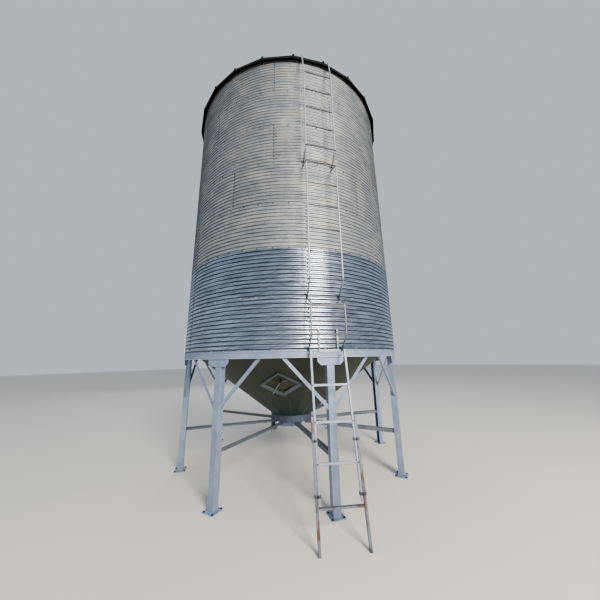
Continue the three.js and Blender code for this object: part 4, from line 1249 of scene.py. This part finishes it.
class SILO_OT_wall_ladders(bpy.types.Operator):
    """Makes the three lengths of the wall ladder"""

    bl_idname = "silo.wall_ladders"
    bl_label = "Wall ladder"

    def execute(self, context):
        self.ladder("low", 0.008, (0.190, 0.660), 0.785, 0.2032, 2)
        self.ladder("middle", 0.821, (1.003, 3.062), 3.201, 1.016, 6)
        self.ladder("top", 3.259, (3.360, 5.030), 5.688, 3.371, 5)
        return {"FINISHED"}

    def ladder(self, name, foot, rails, head, first, count):
        """Round rails that bend in to the wall's bolts, or at the top over the eave, and are flattened
        there to half their thickness and a third more width, with rungs between them. The heights are
        above the wall's foot. The rungs and the rails' lower bends are darkened as painted shade, and so are
        the rails of the low length. In the low length the rungs are flats, and the highest one has a paler
        strip on its upper edge, a painted highlight."""
        wall, ladder, roof = settings("wall", "ladder", "roof")
        half, out, sides = ladder.width / 2, -ladder.reach, 12
        skin = wall.radius + wall.depth / 2 + 0.006
        low, over_eave = name == "low", name == "top"
        parts, rungs, anchors, dulled = [], [], [], []
        for x, anchor in ((-half, LADDER_ANCHORS[0]), (half, LADDER_ANCHORS[1])):
            tops = ([[roof.radius + 0.020, head], [roof.radius + 0.006, head - 0.03]] if over_eave else
                    [[skin, head + 0.003], [skin, head + 0.030]])
            path = [*spot(anchor, skin, [foot - 0.030, foot - 0.003]), [x, out, rails[0]], [x, out, rails[1]],
                    *spot(anchor, *np.transpose(tops))]
            anchors += [spot(anchor, skin + 0.002, z) for z in ([foot - 0.014] if over_eave else
                                                                [foot - 0.014, head + 0.014])]
            path = rounded(path, 0.055, 7)
            side = unit(np.cross(path[-1] - path[0], np.array([x, out, rails[1]]) - path[0]))
            lower = np.arange(len(path)) < len(path) // 2
            flat = np.minimum(np.arange(len(path)), np.arange(len(path))[::-1]) < 6
            flat &= lower | (not over_eave)
            parts.append(round_bar(path, ladder.rail, side, sides, np.where(flat[:, None], [1.3, 0.45], 1.0)))
            away = np.hypot(path[:, 0], path[:, 1])
            # The dulled mark lays painted shade on the lower bends.
            dulled.append(np.repeat(np.clip((ladder.reach - 0.03 - away) / 0.06, 0, 1) * lower, sides))
        for z in first + np.arange(count) * ladder.rung_step:
            ends = np.array([[-half - 0.016, out, z], [half + 0.016, out, z]])
            rungs.append(flat_bar(ends, 0.030, 0.014, (0, 0, 1)) if low else
                         round_bar(ends, ladder.rung, (0, 0, 1), sides))
        if low:
            # A strip on the highest rung's upper edge in the rails' paler finish, a painted highlight.
            parts.append(flat_bar(ends + [0, 0, 0.017], 0.006, 0.018, (0, 0, 1)))
        heads = bolts(anchors, np.array(anchors) * [1, 1, 0], 0.010, 17)
        dulled = np.concatenate(dulled)
        spare = sum(len(shape[0]) for shape in (*parts, *rungs, heads)) - len(dulled)
        turn = math.degrees(ladder.bearing)
        put_mesh(f"ladder_{name}_length", [("dull ladder" if low else "ladder", *parts), ("rung", *rungs),
                                           ("bolt", heads)],
                 [f"wall_ladder_{name}"],
                 moved=lambda points: about_axis(points, turn) + [0, 0, wall.base],
                 attributes={"dulled": np.pad(dulled, (0, spare))})


class SILO_OT_base_ladder(bpy.types.Operator):
    """Makes the leaning base ladder, its bolted extension and the bracket behind it"""

    bl_idname = "silo.base_ladder"
    bl_label = "Base ladder, extension and bracket"

    def execute(self, context):
        wall, ladder = settings("wall", "ladder")
        half, rail, depth = ladder.base_width / 2, ladder.base_rail, ladder.base_depth
        *rungs, step = -0.487 - np.arange(4) * ladder.base_step
        self.upper(half, rail, depth, rungs, step + 0.070)
        self.extension(half, rail, depth + 0.006, step + 0.030)
        self.bracket(wall, math.degrees(ladder.bracket_bearing))
        return {"FINISHED"}

    def upper(self, half, rail, depth, rungs, foot):
        """Two flat rails with bent straps at their heads, and flat rungs bolted between them."""
        parts = []
        for x in (-half, half):
            strap = rounded([[x, 0.006, -0.075], [x, 0.020, -0.042], [x, 0.062, -0.042]], 0.015)
            parts += [flat_bar([[x, 0, foot], [x, 0, -0.005]], rail, depth, (1, 0, 0)),
                      flat_bar(strap, 0.028, 0.008, (1, 0, 0))]
        parts += [flat_bar([[-half, 0, z], [half, 0, z]], 0.032, 0.018, (0, 0, 1)) for z in rungs]
        heads = bolts([[x, -depth / 2, z] for z in rungs for x in (-half, half)], (0, -1, 0), 0.007, 18)
        put_mesh("leaning_ladder", [("chalky", *parts), ("bolt", heads)], ["base_ladder"],
                 edge=0.001, moved=leaning)

    def extension(self, half, rail, depth, step):
        """Longer rails outside the ladder's own, cut level with the ground, with clamps round both and a
        step."""
        inner, reach, out = half + rail / 2 + GAP, rail + 0.004, depth / 2 + 0.003
        axis = leaning([0, 0, 1.0]) - leaning([0, 0, 0.0])
        parts, bands, clamps = [], [], []
        for side in (-1, 1):
            x0, x1 = sorted((side * inner, side * (inner + rail)))
            section = leaning(np.column_stack([rectangle(x0, x1, -depth / 2, depth / 2), np.full(4, -1.0)]))
            parts.append(between(section, axis, ([0, 0, 0.0], (0, 0, 1)), (leaning([0, 0, -0.870]), axis)))
            middle = side * (half + rail / 2)
            for z in (-1.14, -1.69):
                band = np.insert(rectangle(middle - reach, middle + reach, -out, out), 2, z, axis=1)
                strip = rectangle(-0.016, 0.016, -0.0025, 0.0025)
                bands.append(leant(along_path(strip, band, (0, 0, 1), closed=True)))
                clamps.append([middle, -depth / 2 - 0.005, z])
        tread = [[-inner - 0.001, 0.009, step], [inner + 0.001, 0.009, step]]
        parts.append(leant(flat_bar(tread, 0.062, 0.020, (0, 1, 0))))
        # The clamps' bands take the rung finish, darkened as painted shade.
        put_mesh("extension_rails", [("worn", *parts), ("rung", *bands),
                                     ("bolt", leant(bolts(clamps, (0, -1, 0), 0.010, 19)))],
                 ["ladder_extension"], edge=0.0012)

    def bracket(self, wall, bearing):
        """Two straps up the wall with hooked tops, on a plate at its foot."""
        face, half = -(wall.radius + wall.depth / 2) - 0.006, 0.148
        parts = [block((-half - 0.013, half + 0.013), (face - 0.001, face + 0.004), (-0.032, 0.008))]
        for x in (-half, half):
            path = [[x, face - 0.003, -0.028], [x, face - 0.003, 0.306], [x, face + 0.006, 0.306]]
            parts.append(flat_bar(rounded(path, 0.012), 0.026, 0.006, (1, 0, 0)))
        places = [[x, face - 0.006, z] for x in (-half, half) for z in (0.02, 0.27)]
        heads = bolts(places, (0, -1, 0), 0.008, 20)
        put_mesh("hooked_bracket", [("ladder", *parts), ("bolt", heads)], ["ladder_bracket"],
                 edge=0.001,
                 moved=lambda points: about_axis(points, bearing) + [0, 0, wall.base])


# Stage

class SILO_OT_stage(bpy.types.Operator):
    """Makes the floor, the lights and the camera"""

    bl_idname = "silo.stage"
    bl_label = "Stage"

    def execute(self, context):
        stage, scene = context.scene.silo_stage, context.scene
        self.floor(stage)
        white = (1, 1, 1)
        for name, power, tint, place, height, size in (
                ("Key light", stage.key_power, stage.key, (7.6, -12.9, 8.2), 4.5, 5.0),
                ("Fill light", stage.fill_power, white, (-12.0, -7.0, 6.0), 4.0, 7.0),
                ("Back light", stage.back_power, white, (-5.0, 14.0, 8.0), 4.0, 7.0)):
            lamp = bpy.data.lights.new(name, "AREA")
            lamp.energy, lamp.size, lamp.color = power, size, tint
            back = unit(np.subtract(place, (0, 0, height)))
            across = unit(np.cross([0, 0, 1], back))
            self.put(name, lamp, across, np.cross(back, across), back, place)
        scene.world = scene.world or bpy.data.worlds.new("Plain air")
        scene.world.use_nodes = True
        tree = scene.world.node_tree
        tree.nodes.clear()
        add_node(tree, "OutputWorld", add_node(tree, "Background", shade(stage.air), stage.air_strength))
        scene.view_settings.look = "AgX - Medium High Contrast"
        scene.camera = self.camera(stage)
        return {"FINISHED"}

    def put(self, name, data, x, y, z, place):
        """A new object for a light or the camera, its axes and its place given in the frame."""
        made = bpy.data.objects.new(name, data)
        bpy.context.scene.collection.objects.link(made)
        made.matrix_world = Matrix([*np.column_stack([x, y, z, place]).tolist(), [0, 0, 0, 1]])
        return made

    def floor(self, stage):
        """A round floor, 60 m from its middle to its rim: a circle of 96 points carried 20 mm down from
        the ground."""
        mesh = bpy.data.meshes.new("pale_floor")
        points, faces = carried(spot(np.arange(96)[None] * 360 / 96, 60.0, [[0.0], [-0.02]]))
        mesh.from_pydata(points.tolist(), [], [face.tolist() for group in faces for face in group])
        mesh.materials.append(pale_floor(stage.floor))
        ground = bpy.data.objects.new("pale_floor", mesh)
        bpy.context.scene.collection.objects.link(ground)

    def camera(self, stage):
        """The camera's right, up and back directions from its bearing, pan, pitch and roll."""
        data = bpy.data.cameras.new("Photo camera")
        data.sensor_width, data.lens = 36.0, stage.lens
        data.clip_start, data.clip_end = 0.05, 300
        pan, pitch, roll = stage.camera_pan, stage.camera_pitch, stage.camera_roll
        right = np.array([math.cos(pan), -math.sin(pan), 0])
        level = np.array([math.sin(pan), math.cos(pan), 0])
        ahead = level * math.cos(pitch) + [0, 0, math.sin(pitch)]
        down = level * math.sin(pitch) - [0, 0, math.cos(pitch)]
        image_right = right * math.cos(roll) - down * math.sin(roll)
        image_down = right * math.sin(roll) + down * math.cos(roll)
        bearing = math.degrees(stage.camera_bearing)
        axes = about_axis([image_right, -image_down, -ahead], bearing)
        place = spot(bearing, stage.camera_distance, stage.camera_height)
        return self.put("Photo camera", data, *axes, place)


OPERATORS = (SILO_OT_wall, SILO_OT_hopper, SILO_OT_hatch, SILO_OT_discharge, SILO_OT_ring_beam, SILO_OT_legs,
             SILO_OT_struts, SILO_OT_roof, SILO_OT_wall_ladders, SILO_OT_base_ladder, SILO_OT_stage)


class SILO_PT_panel(bpy.types.Panel):
    """Lists the silo's settings and the operators that make its pieces"""

    bl_idname = "SILO_PT_panel"
    bl_label = "Grain silo"
    bl_space_type = "VIEW_3D"
    bl_region_type = "UI"
    bl_category = "Silo"

    def draw(self, context):
        for key, group in GROUPS.items():
            box = self.layout.box()
            box.label(text=group.__doc__)
            for name in group.__annotations__:
                box.prop(getattr(context.scene, key), name)
        for operator in OPERATORS:
            self.layout.operator(operator.bl_idname)


def register():
    for item in (*GROUPS.values(), *OPERATORS, SILO_PT_panel):
        bpy.utils.register_class(item)
    for key, group in GROUPS.items():
        setattr(bpy.types.Scene, key, PointerProperty(type=group))


def unregister():
    for key in GROUPS:
        delattr(bpy.types.Scene, key)
    for item in reversed((*GROUPS.values(), *OPERATORS, SILO_PT_panel)):
        bpy.utils.unregister_class(item)


def main():
    register()
    for operator in OPERATORS:
        group, name = operator.bl_idname.split(".")
        getattr(getattr(bpy.ops, group), name)()


if __name__ == "__main__":
    main()
